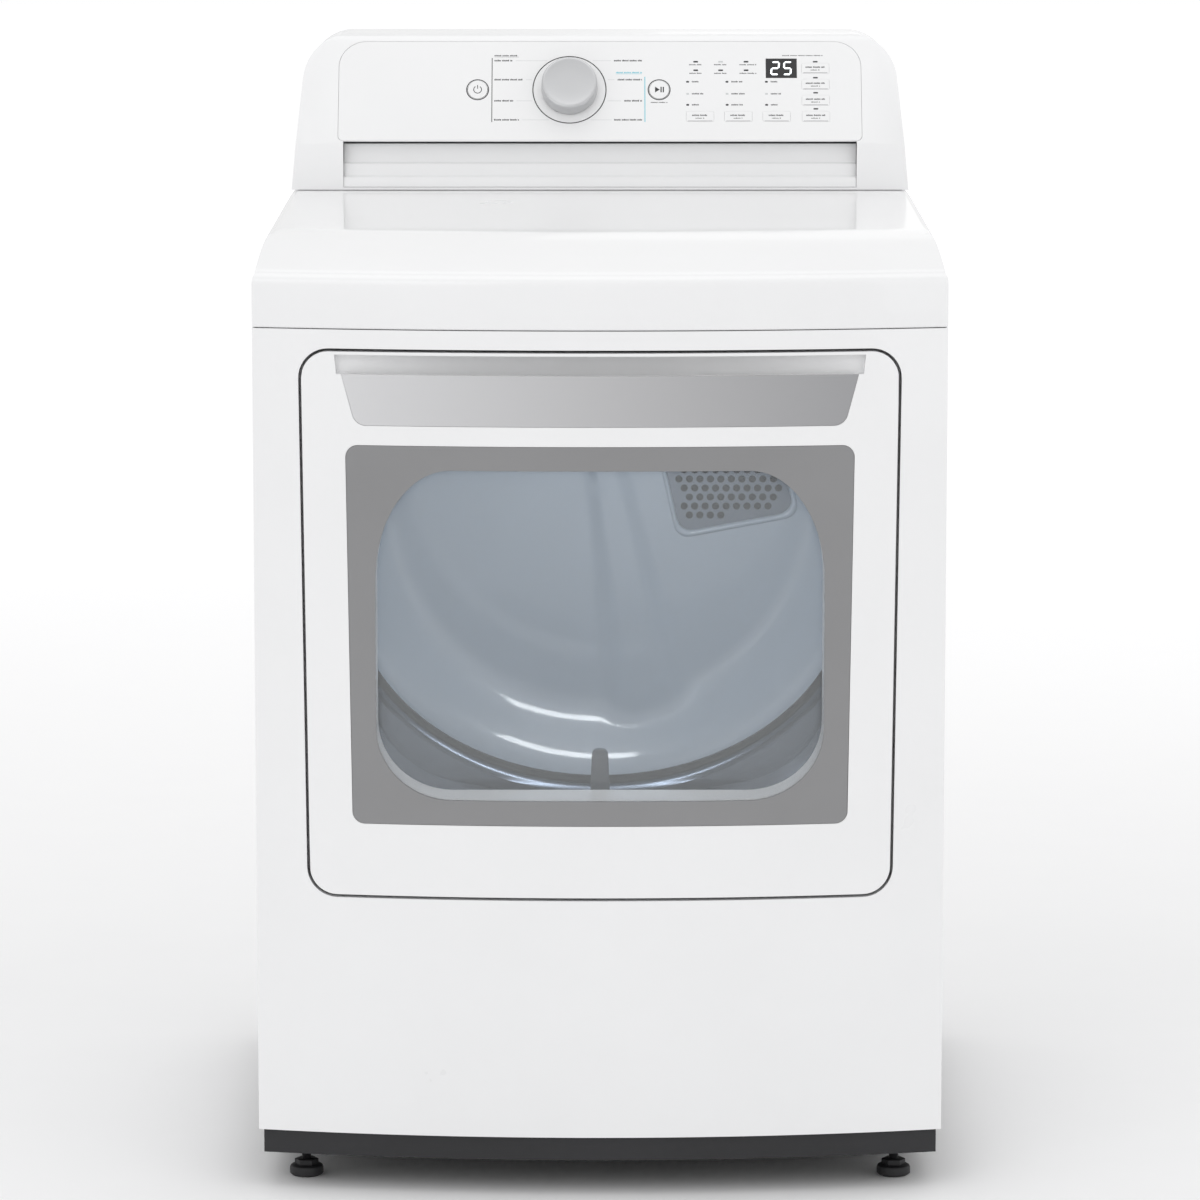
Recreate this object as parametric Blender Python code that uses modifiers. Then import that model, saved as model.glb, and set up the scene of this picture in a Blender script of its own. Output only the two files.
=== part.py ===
"""Rear-control clothes dryer: a bowed white cabinet, a pull-down door with a window, and a turning drum.

Pieces are placed in cabinet coordinates: X to the right, Y backwards from the plane of the side panels'
front edges, Z up from the floor. The empty "dryer" then centres the footprint on the origin.
"""

from math import acos, atan2, cos, pi, radians, sin, sqrt, tan

import bmesh
import bpy
from mathutils import Vector

MM = 0.001

# Overall sizes.
WIDTH = 686 * MM
HEIGHT = 1131 * MM
CABINET_DEPTH = 700 * MM  # from the side panels' front edges to their rear faces
FRONT_BOW = 38 * MM  # how far the middle of the front stands proud of its sides
REAR_STUB = 11 * MM  # how far the exhaust and the terminal cover stand out behind

# Sheet, gaps and rounding shared by many pieces.
SHEET = 1.2 * MM
GAP = 0.3 * MM  # between pieces that meet
RUNNING_GAP = 0.6 * MM  # between a turning piece and what it runs on
CONSOLE_HEIGHT = 164 * MM  # console top above the top panel's flat

# Base and feet.
FOOT_HEIGHT = 35 * MM
FOOT_PAD_RADIUS = 17 * MM
FOOT_PAD_HEIGHT = 13 * MM
FOOT_STEM_RADIUS = 5 * MM
FOOT_STEM_RISE = 18 * MM  # stem above the pan's floor
FOOT_SIDE_MARGIN = 45 * MM
FOOT_END_MARGIN = 50 * MM
FOOT_CLEARANCE = 0.5 * MM
BASE_HEIGHT = 24 * MM
BASE_INSET = 5 * MM

# Side, rear and top panels.
FLANGE = 16 * MM
FRONT_RETURN = 24 * MM  # how far back the front panel's sides turn
APRON_HEIGHT = 51 * MM  # straight front of the top panel, above the seam
TOP_RISE = 48 * MM  # from the top of the apron to the flat at the console
TOP_SLOPE = 11 * MM  # rise of the flat from its crest to the console
CREST_INSET = 125 * MM
CONSOLE_SETBACK = 520 * MM

# Vent slots in the rear panel.
VENT_SLOTS = 6
VENT_BELOW = 60 * MM  # below the seam
VENT_PITCH = 16 * MM
VENT_SLOT = 5 * MM
VENT_HALF = 60 * MM

# Terminal cover: its lower left corner, from the cabinet's side, and its width and height.
TERMINAL_SPOT = (WIDTH / 2 - 153 * MM, 640 * MM)
TERMINAL_SIZE = (95 * MM, 110 * MM)

# Door, its recess and its window.
DOOR_SIDE_MARGIN = 48.4 * MM
DOOR_TAPER = 5.9 * MM  # how much nearer the middle each side is at the bottom
DOOR_TOP_MARGIN = 22 * MM  # below the seam
DOOR_HEIGHT = 543 * MM
DOOR_CORNER = 27 * MM
DOOR_GAP = 3 * MM
DOOR_SKIN = 3 * MM
DOOR_BACK = 10 * MM  # flat back of the outer panel
LINER_SHEET = 5.7 * MM
SEAL_DEPTH = 3.4 * MM
BULGE_DEPTH = 30 * MM  # how far the liner reaches into the mouth
FRAME_SIDE = 43.8 * MM  # door edge to window frame
FRAME_TAPER = 5.2 * MM
FRAME_TOP = 92.4 * MM  # door top to window frame
FRAME_BOTTOM = 72.5 * MM
FRAME_CORNER = 12 * MM
FRAME_SHEET = 4 * MM
FRAME_WIDTH = 28.9 * MM  # window frame to window opening, at each side
FRAME_WIDTH_TOP = 24 * MM
FRAME_WIDTH_BOTTOM = 24.8 * MM
WINDOW_TOP_CORNER = (75 * MM, 110 * MM)
WINDOW_BOTTOM_CORNER = (75 * MM, 71 * MM)
GLASS_SHEET = 3 * MM
GLASS_OVERLAP = 9 * MM
LINER_WALL = 13 * MM
HANDLE_SIDE = 33 * MM  # door edge to the grip pocket
HANDLE_TOP = 3 * MM
POCKET_HEIGHT = 19.3 * MM
POCKET_UNDERCUT = 30 * MM
POCKET_FLOOR = -6 * MM  # depth of the pocket's back wall
TRIM_HEIGHT = 50.3 * MM
TRIM_SIDE = 40.1 * MM
TRIM_TAPER = 13.7 * MM
TRIM_SHEET = 2 * MM
TRIM_CORNER = 14 * MM

# Door hinges: arcs about one axis just in front of the panel and below the door.
HINGE_FORWARD = 1.5 * MM
HINGE_BELOW = 2 * MM
HINGE_CLEARANCE = 13.5 * MM  # from the back of the recess to the arc's far side
HINGE_BAR = 4 * MM
HINGE_WIDTH = 6 * MM
HINGE_MARGIN = 64 * MM  # door edge to hinge arm
HINGE_SLOT_GAP = 2.5 * MM

# Latch: a strike on the door that goes into a catch behind the recess.
STRIKE_BELOW = 20 * MM  # door top to the strike's middle
STRIKE_HALF = 10 * MM
STRIKE_HEIGHT = 8 * MM
STRIKE_REACH = 18 * MM
CATCH_GAP = 3 * MM
CATCH_MARGIN = 6 * MM
CATCH_WALL = 3 * MM

# Mouth and drum.
RECESS_FLOOR = 20 * MM
RECESS_WALL = 2 * MM
MOUTH_CLEARANCE = 14 * MM  # liner bulge to mouth, at the sides
MOUTH_BELOW = 10 * MM
MOUTH_ABOVE = 55 * MM
MOUTH_CORNER = 80 * MM
BULKHEAD_DEPTH = 58 * MM
COLLAR_BACK = 91 * MM
DRUM_SIDE_GAP = 23 * MM
DRUM_BELOW_TOP = 370 * MM  # top flat to drum axis
DRUM_WALL = 2 * MM
DRUM_FRONT = 98 * MM
DRUM_LIP = 58 * MM  # width of the drum's turned-in front
DRUM_REAR_MARGIN = 96 * MM  # drum's rear edge to the cabinet's rear face
SEAL_BAND = 7 * MM  # how much of the front seal shows inside the collar
OVAL_SIDE = 70 * MM  # drum radius to the seal's half width
OVAL_HALF_HEIGHT = 193.5 * MM
DISH_RADIUS = 230 * MM
DISH_DEPTH = 40 * MM
DISH_RAISE = 31 * MM  # dish centre above the drum axis
LIFTER_HEIGHT = 50 * MM
LIFTER_WIDTH = 84 * MM
LIFTER_LENGTH = 350 * MM
LIFTER_ANGLES = (30, 150, 270)

# Rollers, belt, motor and idler.
ROLLER_RADIUS = 30 * MM
ROLLER_WIDTH = 24 * MM
ROLLER_ANGLE = 38  # from straight down, in degrees
ROLLER_SHAFT_RADIUS = 7 * MM
BORE_GAP = 0.4 * MM
BELT_THICKNESS = 2 * MM
BELT_WIDTH = 12 * MM
BELT_DEPTH = 337 * MM
PULLEY_RADIUS = 14 * MM
MOTOR_HEIGHT = 150 * MM
MOTOR_RADIUS = 58 * MM
MOTOR_LENGTH = 135 * MM
MOTOR_FRONT = 150 * MM
MOTOR_SHAFT_RADIUS = 6 * MM
IDLER_RADIUS = 28 * MM
IDLER_ARM_LENGTH = 118 * MM
IDLER_SHARE = 0.25  # how far up the belt's run the idler sits

# Air path.
BLOWER_FRONT = 76 * MM
BLOWER_DEPTH = 54 * MM
BLOWER_RADIUS = 88 * MM
BLOWER_INLET = 46 * MM
IMPELLER_RADIUS = 74 * MM
IMPELLER_BLADES = 12
EXHAUST_SIDES = 18
DUCT_WALL = 2 * MM
EXHAUST_RADIUS = 50 * MM
EXHAUST_HEIGHT = 108 * MM
EXHAUST_OFFSET = 142 * MM
FILTER_WIDTH = 120 * MM
FILTER_THICKNESS = 14 * MM
FILTER_HEIGHT = 205 * MM
FILTER_CENTRE = 57 * MM  # depth of the filter's middle
FILTER_GAP = 3 * MM
FILTER_HANDLE = (20 * MM, 10 * MM, 46 * MM)
GRILLE_RECESS = 8 * MM
GRILLE_SHEET = 2 * MM
GRILLE_PITCH = 27 * MM
GRILLE_HOLE = 8 * MM
DISH_SIDES = 48
HEATER_DEPTH = 32 * MM

# Console.
CONSOLE_SIDE_INSET = 11 * MM
CONSOLE_SHOULDER_INSET = 28 * MM
CONSOLE_SHOULDER = 50 * MM
CONSOLE_WALL = 3 * MM
FASCIA_LOWER_DEPTH = 505 * MM
FASCIA_UPPER_DEPTH = 560 * MM
FASCIA_BASE = 53 * MM  # fascia's lower edge above the top flat
FASCIA_TOP_MARGIN = 8 * MM
FASCIA_SIDE = 62.5 * MM  # cabinet side to fascia
SPREAD = (WIDTH / 2 - FASCIA_SIDE) / 280.5  # a millimetre along a fascia 561 wide
FASCIA_SHEET = 3 * MM
FASCIA_TOP_CORNER = 30 * MM
FASCIA_LOW_CORNER = 6 * MM
TRIM_PANEL_SIDE = 68.5 * MM
TRIM_PANEL_RECESS = 8 * MM
TRIM_PANEL_GAP = 4 * MM
TRIM_STEP = 1.5 * MM
KNOB_RADIUS = 30 * MM
KNOB_HEIGHT = 20 * MM
KNOB_X = -32.8 * SPREAD
ROUND_BUTTON_RADIUS = 10.5 * MM
POWER_X = -131.4 * SPREAD
START_X = 63.5 * SPREAD
BUTTON_ROW = 1.4 * MM
KEY_SIZE = (29.6 * SPREAD, 12 * MM)
KEY_CORNER = 2 * MM
KEY_GAP = 0.5 * MM
KEY_DEPTH = 7 * MM
KEY_PROUD = 0.4 * MM
LOWER_KEY_ROW = -30 * MM
LOWER_KEYS = {"dry_level": 107.3 * SPREAD, "temperature": 148.3 * SPREAD, "time_dry": 189.4 * SPREAD}
RIGHT_KEY_COLUMN = 231.5 * SPREAD
RIGHT_KEYS = {
    "more_time": 26.8 * MM,
    "less_time": 7.8 * MM,
    "energy_saver": -11 * MM,
    "wrinkle_care": -30 * MM,
}
DISPLAY_CENTRE = (194.9 * SPREAD, 26.8 * MM)
DISPLAY_SIZE = (32.9 * SPREAD, 22.5 * MM)
BOARD_SIZE = (500 * SPREAD, 84 * MM)
BOARD_DEPTH = 16 * MM
BOARD_SHEET = 1.6 * MM

# Places worked out from the sizes above.
HALF = WIDTH / 2
BOW_RADIUS = (HALF**2 + FRONT_BOW**2) / (2 * FRONT_BOW)
BASE_TOP = FOOT_HEIGHT + BASE_HEIGHT
TOP_FLAT = HEIGHT - CONSOLE_HEIGHT
CREST = TOP_FLAT - TOP_SLOPE
APRON_TOP = TOP_FLAT - TOP_RISE
SEAM = APRON_TOP - APRON_HEIGHT
DOOR_TOP = SEAM - DOOR_TOP_MARGIN
DOOR_BOTTOM = DOOR_TOP - DOOR_HEIGHT
DOOR_HALF = HALF - DOOR_SIDE_MARGIN
FRAME_HALF = DOOR_HALF - FRAME_SIDE
FRAME_HIGH = DOOR_TOP - FRAME_TOP
FRAME_LOW = DOOR_BOTTOM + FRAME_BOTTOM
WINDOW_HALF = FRAME_HALF - FRAME_WIDTH
WINDOW_HIGH = FRAME_HIGH - FRAME_WIDTH_TOP
WINDOW_LOW = FRAME_LOW + FRAME_WIDTH_BOTTOM
BULGE_HALF = WINDOW_HALF + LINER_WALL
BULGE_LOW = WINDOW_LOW - LINER_WALL
BULGE_HIGH = WINDOW_HIGH + LINER_WALL
MOUTH_HALF = BULGE_HALF + MOUTH_CLEARANCE
MOUTH_LOW = BULGE_LOW - MOUTH_BELOW
MOUTH_HIGH = BULGE_HIGH + MOUTH_ABOVE
STRIKE_Z = DOOR_TOP - STRIKE_BELOW
HINGE_Y = -FRONT_BOW - HINGE_FORWARD
HINGE_Z = DOOR_BOTTOM - HINGE_BELOW
HINGE_X = DOOR_HALF - HINGE_MARGIN
HINGE_RADIUS = RECESS_FLOOR + RECESS_WALL - HINGE_Y + HINGE_CLEARANCE
LINER_BACK = DOOR_BACK + GAP + LINER_SHEET
DRUM_RADIUS = HALF - DRUM_SIDE_GAP
DRUM_Z = TOP_FLAT - DRUM_BELOW_TOP
DRUM_BACK = CABINET_DEPTH - DRUM_REAR_MARGIN
OVAL_HALF = DRUM_RADIUS - OVAL_SIDE
REAR_SHEET_Y = DRUM_BACK + 4 * MM
MOTOR_BACK = MOTOR_FRONT + MOTOR_LENGTH
BELT_RADIUS = DRUM_RADIUS + 1 * MM
REAR_PANEL_Y = CABINET_DEPTH - SHEET - GAP - SHEET
FASCIA_LOW = TOP_FLAT + FASCIA_BASE
FASCIA_HIGH = HEIGHT - FASCIA_TOP_MARGIN
FASCIA_HALF = HALF - FASCIA_SIDE
FASCIA_LENGTH = sqrt((FASCIA_UPPER_DEPTH - FASCIA_LOWER_DEPTH) ** 2 + (FASCIA_HIGH - FASCIA_LOW) ** 2)
FASCIA_TILT = atan2(FASCIA_HIGH - FASCIA_LOW, FASCIA_UPPER_DEPTH - FASCIA_LOWER_DEPTH)

# ---------------------------------------------------------------- scene and materials


def clear_scene():
    for obj in list(bpy.data.objects):
        bpy.data.objects.remove(obj)


def new_collection(name):
    collection = bpy.data.collections.new(name)
    bpy.context.scene.collection.children.link(collection)
    return collection


def new_material(name, colour, roughness, metallic=0.0):
    material = bpy.data.materials.new(name)
    material.use_nodes = True
    shader = material.node_tree.nodes["Principled BSDF"]
    shader.inputs["Base Color"].default_value = (*colour, 1)
    shader.inputs["Roughness"].default_value = roughness
    shader.inputs["Metallic"].default_value = metallic
    return material


def new_frame(name, location, parent=None, tilt=0.0):
    empty = bpy.data.objects.new(name, None)
    PARTS.objects.link(empty)
    empty.parent = parent
    origin = parent["origin"] if parent else (0, 0, 0)
    empty.location = Vector(location) - Vector(origin)
    empty.rotation_euler.x = tilt
    empty["origin"] = location
    return empty


clear_scene()
PARTS = new_collection("clothes_dryer")
CUTTERS = new_collection("cutters")
DRYER = new_frame("dryer", (0, 0, 0))
DRYER.location.y = -(CABINET_DEPTH + REAR_STUB - FRONT_BOW) / 2
WHITE = new_material("white_enamel", (0.9, 0.9, 0.91), 0.25)
PLASTIC = new_material("white_plastic", (0.9, 0.9, 0.91), 0.35)
BLACK = new_material("black_plastic", (0.02, 0.02, 0.02), 0.5)
GREY = new_material("grey_frame", (0.29, 0.29, 0.3), 0.4)
SILVER = new_material("silver_trim", (0.6, 0.6, 0.6), 0.35, 0.7)
STEEL = new_material("galvanised_steel", (0.55, 0.56, 0.58), 0.4, 0.9)
ENAMEL = new_material("drum_enamel", (0.45, 0.5, 0.56), 0.3)
RUBBER = new_material("rubber", (0.03, 0.03, 0.03), 0.8)
GLASS = new_material("glass", (0.8, 0.85, 0.87), 0.05)
BOARD = new_material("circuit_board", (0.05, 0.2, 0.1), 0.5)
FILTER = new_material("filter_plastic", (0.18, 0.2, 0.23), 0.4)


# ---------------------------------------------------------------- shapes


def bow(x):
    """Depth of the bowed front at x: 0 at the cabinet's sides and -FRONT_BOW in the middle."""
    return BOW_RADIUS - FRONT_BOW - sqrt(BOW_RADIUS**2 - x**2)


def add(name, mesh, material=None, parent=None):
    """The mesh as an object in cabinet coordinates, or as a cutter where it has no material."""
    parent = parent or DRYER
    obj = bpy.data.objects.new(name, mesh)
    obj.parent = parent
    obj.location = -Vector(parent["origin"])
    if material is None:
        CUTTERS.objects.link(obj)
        obj.hide_render = True
        obj.display_type = "WIRE"
    else:
        PARTS.objects.link(obj)
        mesh.materials.append(material)
    return obj


def finish_mesh(bm, name):
    bmesh.ops.remove_doubles(bm, verts=bm.verts, dist=0.00001)
    bmesh.ops.recalc_face_normals(bm, faces=bm.faces)
    mesh = bpy.data.meshes.new(name)
    bm.to_mesh(mesh)
    bm.free()
    return mesh


def box(name, low, high, material=None, parent=None):
    bm = bmesh.new()
    bmesh.ops.create_cube(bm, size=1)
    size = Vector(high) - Vector(low)
    bmesh.ops.scale(bm, vec=size, verts=bm.verts)
    bmesh.ops.translate(bm, vec=Vector(low) + size / 2, verts=bm.verts)
    return add(name, finish_mesh(bm, name), material, parent)


def turned(name, profile, centre, material=None, parent=None, steps=48):
    """A body of revolution about +Y. The profile's (radius, depth) points run front to back outside."""
    mesh = bpy.data.meshes.new(name)
    loop = list(reversed(profile))
    edges = [(i, (i + 1) % len(loop)) for i in range(len(loop))]
    if loop[0][0] == 0:
        edges.pop()
    mesh.from_pydata([(radius, 0, depth) for radius, depth in loop], edges, [])
    obj = add(name, mesh, material, parent)
    obj.location += Vector(centre)
    obj.rotation_euler.x = -pi / 2
    screw = obj.modifiers.new("turn", "SCREW")
    screw.steps = screw.render_steps = steps
    screw.use_merge_vertices = True
    screw.merge_threshold = 0.00001
    screw.use_smooth_shade = False
    return obj


def disc(name, centre, radius, low, high, material=None, parent=None, steps=24):
    """A plain cylinder along Y."""
    profile = [(0, low), (radius, low), (radius, high), (0, high)]
    return turned(name, profile, centre, material, parent, steps)


def ring(u, v, radius, count=24):
    angles = [2 * pi * i / count for i in range(count)]
    return [(u + radius * cos(a), v + radius * sin(a)) for a in angles]


def fillet(corners, steps=5):
    """Outline through (u, v, radius) corners, each rounded by an arc that touches both its sides."""
    points = []
    for i, (u, v, radius) in enumerate(corners):
        corner = Vector((u, v))
        if not radius:
            points.append((u, v))
            continue
        before = (Vector(corners[i - 1][:2]) - corner).normalized()
        after = (Vector(corners[(i + 1) % len(corners)][:2]) - corner).normalized()
        half = acos(before.dot(after)) / 2
        centre = corner + (before + after).normalized() * radius / sin(half)
        start = corner + before * radius / tan(half) - centre
        end = corner + after * radius / tan(half) - centre
        first = atan2(start.y, start.x)
        sweep = (atan2(end.y, end.x) - first + pi) % (2 * pi) - pi
        for k in range(steps + 1):
            angle = first + sweep * k / steps
            points.append((centre.x + radius * cos(angle), centre.y + radius * sin(angle)))
    return points


def taper(half_low, half_high, low, high, radius, steps=5):
    """A symmetric outline whose half width differs at its bottom and its top."""
    corners = [(-half_low, low, radius), (half_low, low, radius)]
    corners += [(half_high, high, radius), (-half_high, high, radius)]
    return fillet(corners, steps)


def window(half, low, high, bottom, top, steps=9):
    """A symmetric outline with (width, height) elliptical corners at its bottom and its top."""
    points = []
    for side, level, (width, height), start in (
        (1, low, bottom, -pi / 2),
        (1, high, top, 0),
        (-1, high, top, pi / 2),
        (-1, low, bottom, pi),
    ):
        up = 1 if level == low else -1
        for k in range(steps + 1):
            angle = start + pi / 2 * k / steps
            u = side * (half - width) + width * cos(angle)
            points.append((u, level + up * height + height * sin(angle)))
    return points


def oval(half, half_height, centre, count=48):
    angles = [2 * pi * (i + 0.5) / count for i in range(count)]
    return [(half * cos(a), centre + half_height * sin(a)) for a in angles]


TURNS = {"PLAN": (0, 0, 0), "FRONT": (pi / 2, 0, 0), "SIDE": (pi / 2, 0, pi / 2)}
PLANES = {"PLAN": Vector((0, 0, 1)), "FRONT": Vector((0, 1, 0)), "SIDE": Vector((1, 0, 0))}


def prism(name, plane, loops, low, high, material=None, parent=None):
    """Flat outlines, the first solid and the rest holes, drawn out from low to high along the normal."""
    curve = bpy.data.curves.new(name, "CURVE")
    curve.dimensions = "2D"
    curve.fill_mode = "BOTH"
    curve.extrude = (high - low) / 2
    for loop in loops:
        spline = curve.splines.new("POLY")
        spline.points.add(len(loop) - 1)
        for point, (u, v) in zip(spline.points, loop):
            point.co = (u, v, 0, 1)
        spline.use_cyclic_u = True
    drawn = bpy.data.objects.new(name, curve)
    CUTTERS.objects.link(drawn)
    graph = bpy.context.evaluated_depsgraph_get()
    evaluated = drawn.evaluated_get(graph)
    mesh = bpy.data.meshes.new_from_object(evaluated, depsgraph=graph)
    bpy.data.objects.remove(drawn)
    bm = bmesh.new()
    bm.from_mesh(mesh)
    mesh = finish_mesh(bm, name)
    obj = add(name, mesh, material, parent)
    obj.rotation_euler = TURNS[plane]
    obj.location += PLANES[plane] * (low + high) / 2
    return obj


def loft_mesh(name, loops, first=True, last=True):
    """Skin through closed loops of equal length, with a face across the first and the last if asked."""
    bm = bmesh.new()
    rings = [[bm.verts.new(point) for point in loop] for loop in loops]
    for lower, upper in zip(rings, rings[1:]):
        for i in range(len(lower)):
            j = (i + 1) % len(lower)
            bm.faces.new((lower[i], lower[j], upper[j], upper[i]))
    if first:
        bm.faces.new(rings[0])
    if last:
        bm.faces.new(rings[-1])
    return finish_mesh(bm, name)


def span(outline, x):
    """Lowest and highest v where a convex outline is crossed by the line u = x."""
    found = []
    for (u0, v0), (u1, v1) in zip(outline, outline[1:] + outline[:1]):
        if (u0 - x) * (u1 - x) <= 0 and u0 != u1:
            found.append(v0 + (v1 - v0) * (x - u0) / (u1 - u0))
    return min(found), max(found)


def bowed(name, outline, front, back, material=None, parent=None, flat_back=True, guide=None):
    """A plate whose front lies front behind the bowed surface, and its back at a depth or behind the bow.

    Its edges across the bow stand where those of the guide outline do, so that a tool meets its plate edge on edge.
    """
    least, inset = 0.4 * MM, 0.05 * MM
    guide = guide or outline
    edge, reach = (max(u for u, v in shape) - inset for shape in (outline, guide))
    wanted = [u for u, v in guide] + [reach * k / 8 for k in range(-8, 9)]
    wanted = [u for u in wanted if abs(u) < edge] + [-edge, edge]
    stations = []
    for x in sorted(wanted):
        if not stations or x - stations[-1] > least:
            stations.append(x)
    loops = []
    for x in stations:
        low, high = span(outline, x)
        near = bow(x) + front
        far = back if flat_back else bow(x) + back
        loops.append([(x, near, low), (x, near, high), (x, far, high), (x, far, low)])
    return add(name, loft_mesh(name, loops), material, parent)


def combine(obj, other, operation):
    """A Boolean of the two, whose second object goes among the cutters."""
    modifier = obj.modifiers.new(operation.lower(), "BOOLEAN")
    modifier.operation = operation
    modifier.object = other
    return obj


def cut(obj, *cutters):
    for cutter in cutters:
        combine(obj, cutter, "DIFFERENCE")
    return obj


def join(obj, *others):
    for other in others:
        combine(obj, other, "UNION")
    return obj


def cutter_bar(name, centre, radius, low, high, steps=20):
    """A round cutter along Z."""
    return prism(name, "PLAN", [ring(*centre, radius, steps)], low, high)


# ---------------------------------------------------------------- outlines that several pieces share


def door_outline(grow=0.0):
    low_half = DOOR_HALF - DOOR_TAPER + grow
    return taper(low_half, DOOR_HALF + grow, DOOR_BOTTOM - grow, DOOR_TOP + grow, DOOR_CORNER + grow)


def frame_outline(grow=0.0):
    low_half = FRAME_HALF - FRAME_TAPER + grow
    return taper(low_half, FRAME_HALF + grow, FRAME_LOW - grow, FRAME_HIGH + grow, FRAME_CORNER + grow)


def window_outline(grow=0.0):
    low = (WINDOW_BOTTOM_CORNER[0] + grow, WINDOW_BOTTOM_CORNER[1] + grow)
    high = (WINDOW_TOP_CORNER[0] + grow, WINDOW_TOP_CORNER[1] + grow)
    return window(WINDOW_HALF + grow, WINDOW_LOW - grow, WINDOW_HIGH + grow, low, high)


def mouth_outline(grow=0.0):
    corner = (MOUTH_CORNER + grow, MOUTH_CORNER + grow)
    return window(MOUTH_HALF + grow, MOUTH_LOW - grow, MOUTH_HIGH + grow, corner, corner, 11)


def trim_outline(grow=0.0):
    high = DOOR_TOP - HANDLE_TOP - POCKET_HEIGHT
    half = DOOR_HALF - TRIM_SIDE + grow
    low_half = half - TRIM_TAPER
    low = high - TRIM_HEIGHT - grow
    corners = [(-low_half, low, TRIM_CORNER), (low_half, low, TRIM_CORNER)]
    return fillet(corners + [(half, high + grow, 0), (-half, high + grow, 0)])


def front_arc(half, inset, count=24):
    """Points along the bowed front from left to right, inset from it."""
    return [(half * (2 * k / count - 1), bow(half * (2 * k / count - 1)) + inset) for k in range(count + 1)]


# ---------------------------------------------------------------- cabinet


def make_base():
    outline = front_arc(HALF - BASE_INSET, BASE_INSET) + [
        (HALF - BASE_INSET, REAR_PANEL_Y - GAP),
        (BASE_INSET - HALF, REAR_PANEL_Y - GAP),
    ]
    inner_half = HALF - BASE_INSET - SHEET
    inner = front_arc(inner_half, BASE_INSET + SHEET) + [
        (inner_half, REAR_PANEL_Y - GAP - SHEET),
        (-inner_half, REAR_PANEL_Y - GAP - SHEET),
    ]
    pan = prism("base_pan", "PLAN", [outline], FOOT_HEIGHT, BASE_TOP, BLACK)
    cut(pan, prism("pan_inside", "PLAN", [inner], FOOT_HEIGHT + SHEET, BASE_TOP + SHEET))
    for name, x, y in feet_places():
        hole = cutter_bar("hole_" + name, (x, y), FOOT_STEM_RADIUS + FOOT_CLEARANCE, 0, BASE_TOP)
        cut(pan, hole)
        make_foot(name, x, y)


def feet_places():
    for side, x in (("left", FOOT_SIDE_MARGIN - HALF), ("right", HALF - FOOT_SIDE_MARGIN)):
        for end, y in (("front", FOOT_END_MARGIN), ("rear", CABINET_DEPTH - FOOT_END_MARGIN)):
            yield f"foot_{end}_{side}", x, y


def make_foot(name, x, y):
    frame = new_frame(name + "_axis", (x, y, 0), DRYER)
    profile = [
        (0, 0),
        (FOOT_PAD_RADIUS * 0.85, 0),
        (FOOT_PAD_RADIUS, 2 * MM),
        (FOOT_PAD_RADIUS, FOOT_PAD_HEIGHT),
        (FOOT_STEM_RADIUS, FOOT_PAD_HEIGHT),
        (FOOT_STEM_RADIUS, FOOT_HEIGHT + FOOT_STEM_RISE),
        (0, FOOT_HEIGHT + FOOT_STEM_RISE),
    ]
    foot = turned(name, profile, (x, y, 0), BLACK, frame, 16)
    foot.rotation_euler.x = 0


def make_side(name, side):
    outer = side * HALF
    inner = side * (HALF - SHEET)
    lip = side * (HALF - FLANGE)
    front = FRONT_RETURN + GAP
    outline = [(outer, front), (outer, CABINET_DEPTH), (lip, CABINET_DEPTH), (lip, CABINET_DEPTH - SHEET)]
    outline += [(inner, CABINET_DEPTH - SHEET), (inner, front + SHEET), (lip, front + SHEET), (lip, front)]
    prism(name, "PLAN", [outline], BASE_TOP + GAP, SEAM - GAP, WHITE)


def make_rear_panel():
    half = HALF - SHEET - GAP
    loop = taper(half, half, BASE_TOP + GAP, SEAM - GAP, 0)
    holes = [ring(0, EXHAUST_HEIGHT, EXHAUST_RADIUS + DUCT_WALL, 32)]
    for k in range(VENT_SLOTS):
        high = SEAM - VENT_BELOW - k * VENT_PITCH
        holes.append(taper(VENT_HALF, VENT_HALF, high - VENT_SLOT, high, 0))
    prism("rear_panel", "FRONT", [loop] + holes, REAR_PANEL_Y, REAR_PANEL_Y + SHEET, WHITE)


def make_front_panel():
    outline = front_arc(HALF, 0) + [(HALF, FRONT_RETURN), (-HALF, FRONT_RETURN)]
    inner_half = HALF - SHEET
    rear = FRONT_RETURN + SHEET
    inner = front_arc(inner_half, SHEET) + [(inner_half, rear), (-inner_half, rear)]
    low, high = BASE_TOP + GAP, SEAM - GAP
    panel = prism("front_panel", "PLAN", [outline], low, high, WHITE)
    hollow = prism("front_hollow", "PLAN", [inner], low + SHEET, high - SHEET)
    well = door_outline(DOOR_GAP + RECESS_WALL)
    cut(hollow, prism("recess_block", "FRONT", [well], -2 * FRONT_BOW, RECESS_FLOOR + RECESS_WALL))
    recess = prism("recess", "FRONT", [door_outline(DOOR_GAP)], -2 * FRONT_BOW, RECESS_FLOOR)
    mouth = prism("mouth_hole", "FRONT", [mouth_outline()], 0, 2 * RECESS_FLOOR)
    cut(panel, hollow, recess, mouth)
    half = HINGE_WIDTH / 2 + HINGE_SLOT_GAP
    slot_low, slot_high = hinge_slot()
    for name, middle in (("left", -HINGE_X), ("right", HINGE_X)):
        low_corner = (middle - half, 0, slot_low)
        cut(panel, box("hinge_slot_" + name, low_corner, (middle + half, 2 * RECESS_FLOOR, slot_high)))
    half, tall = STRIKE_HALF + CATCH_GAP + 1 * MM, STRIKE_HEIGHT / 2 + CATCH_MARGIN + 1 * MM
    cut(panel, box("strike_slot", (-half, 0, STRIKE_Z - tall), (half, 2 * RECESS_FLOOR, STRIKE_Z + tall)))


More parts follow.
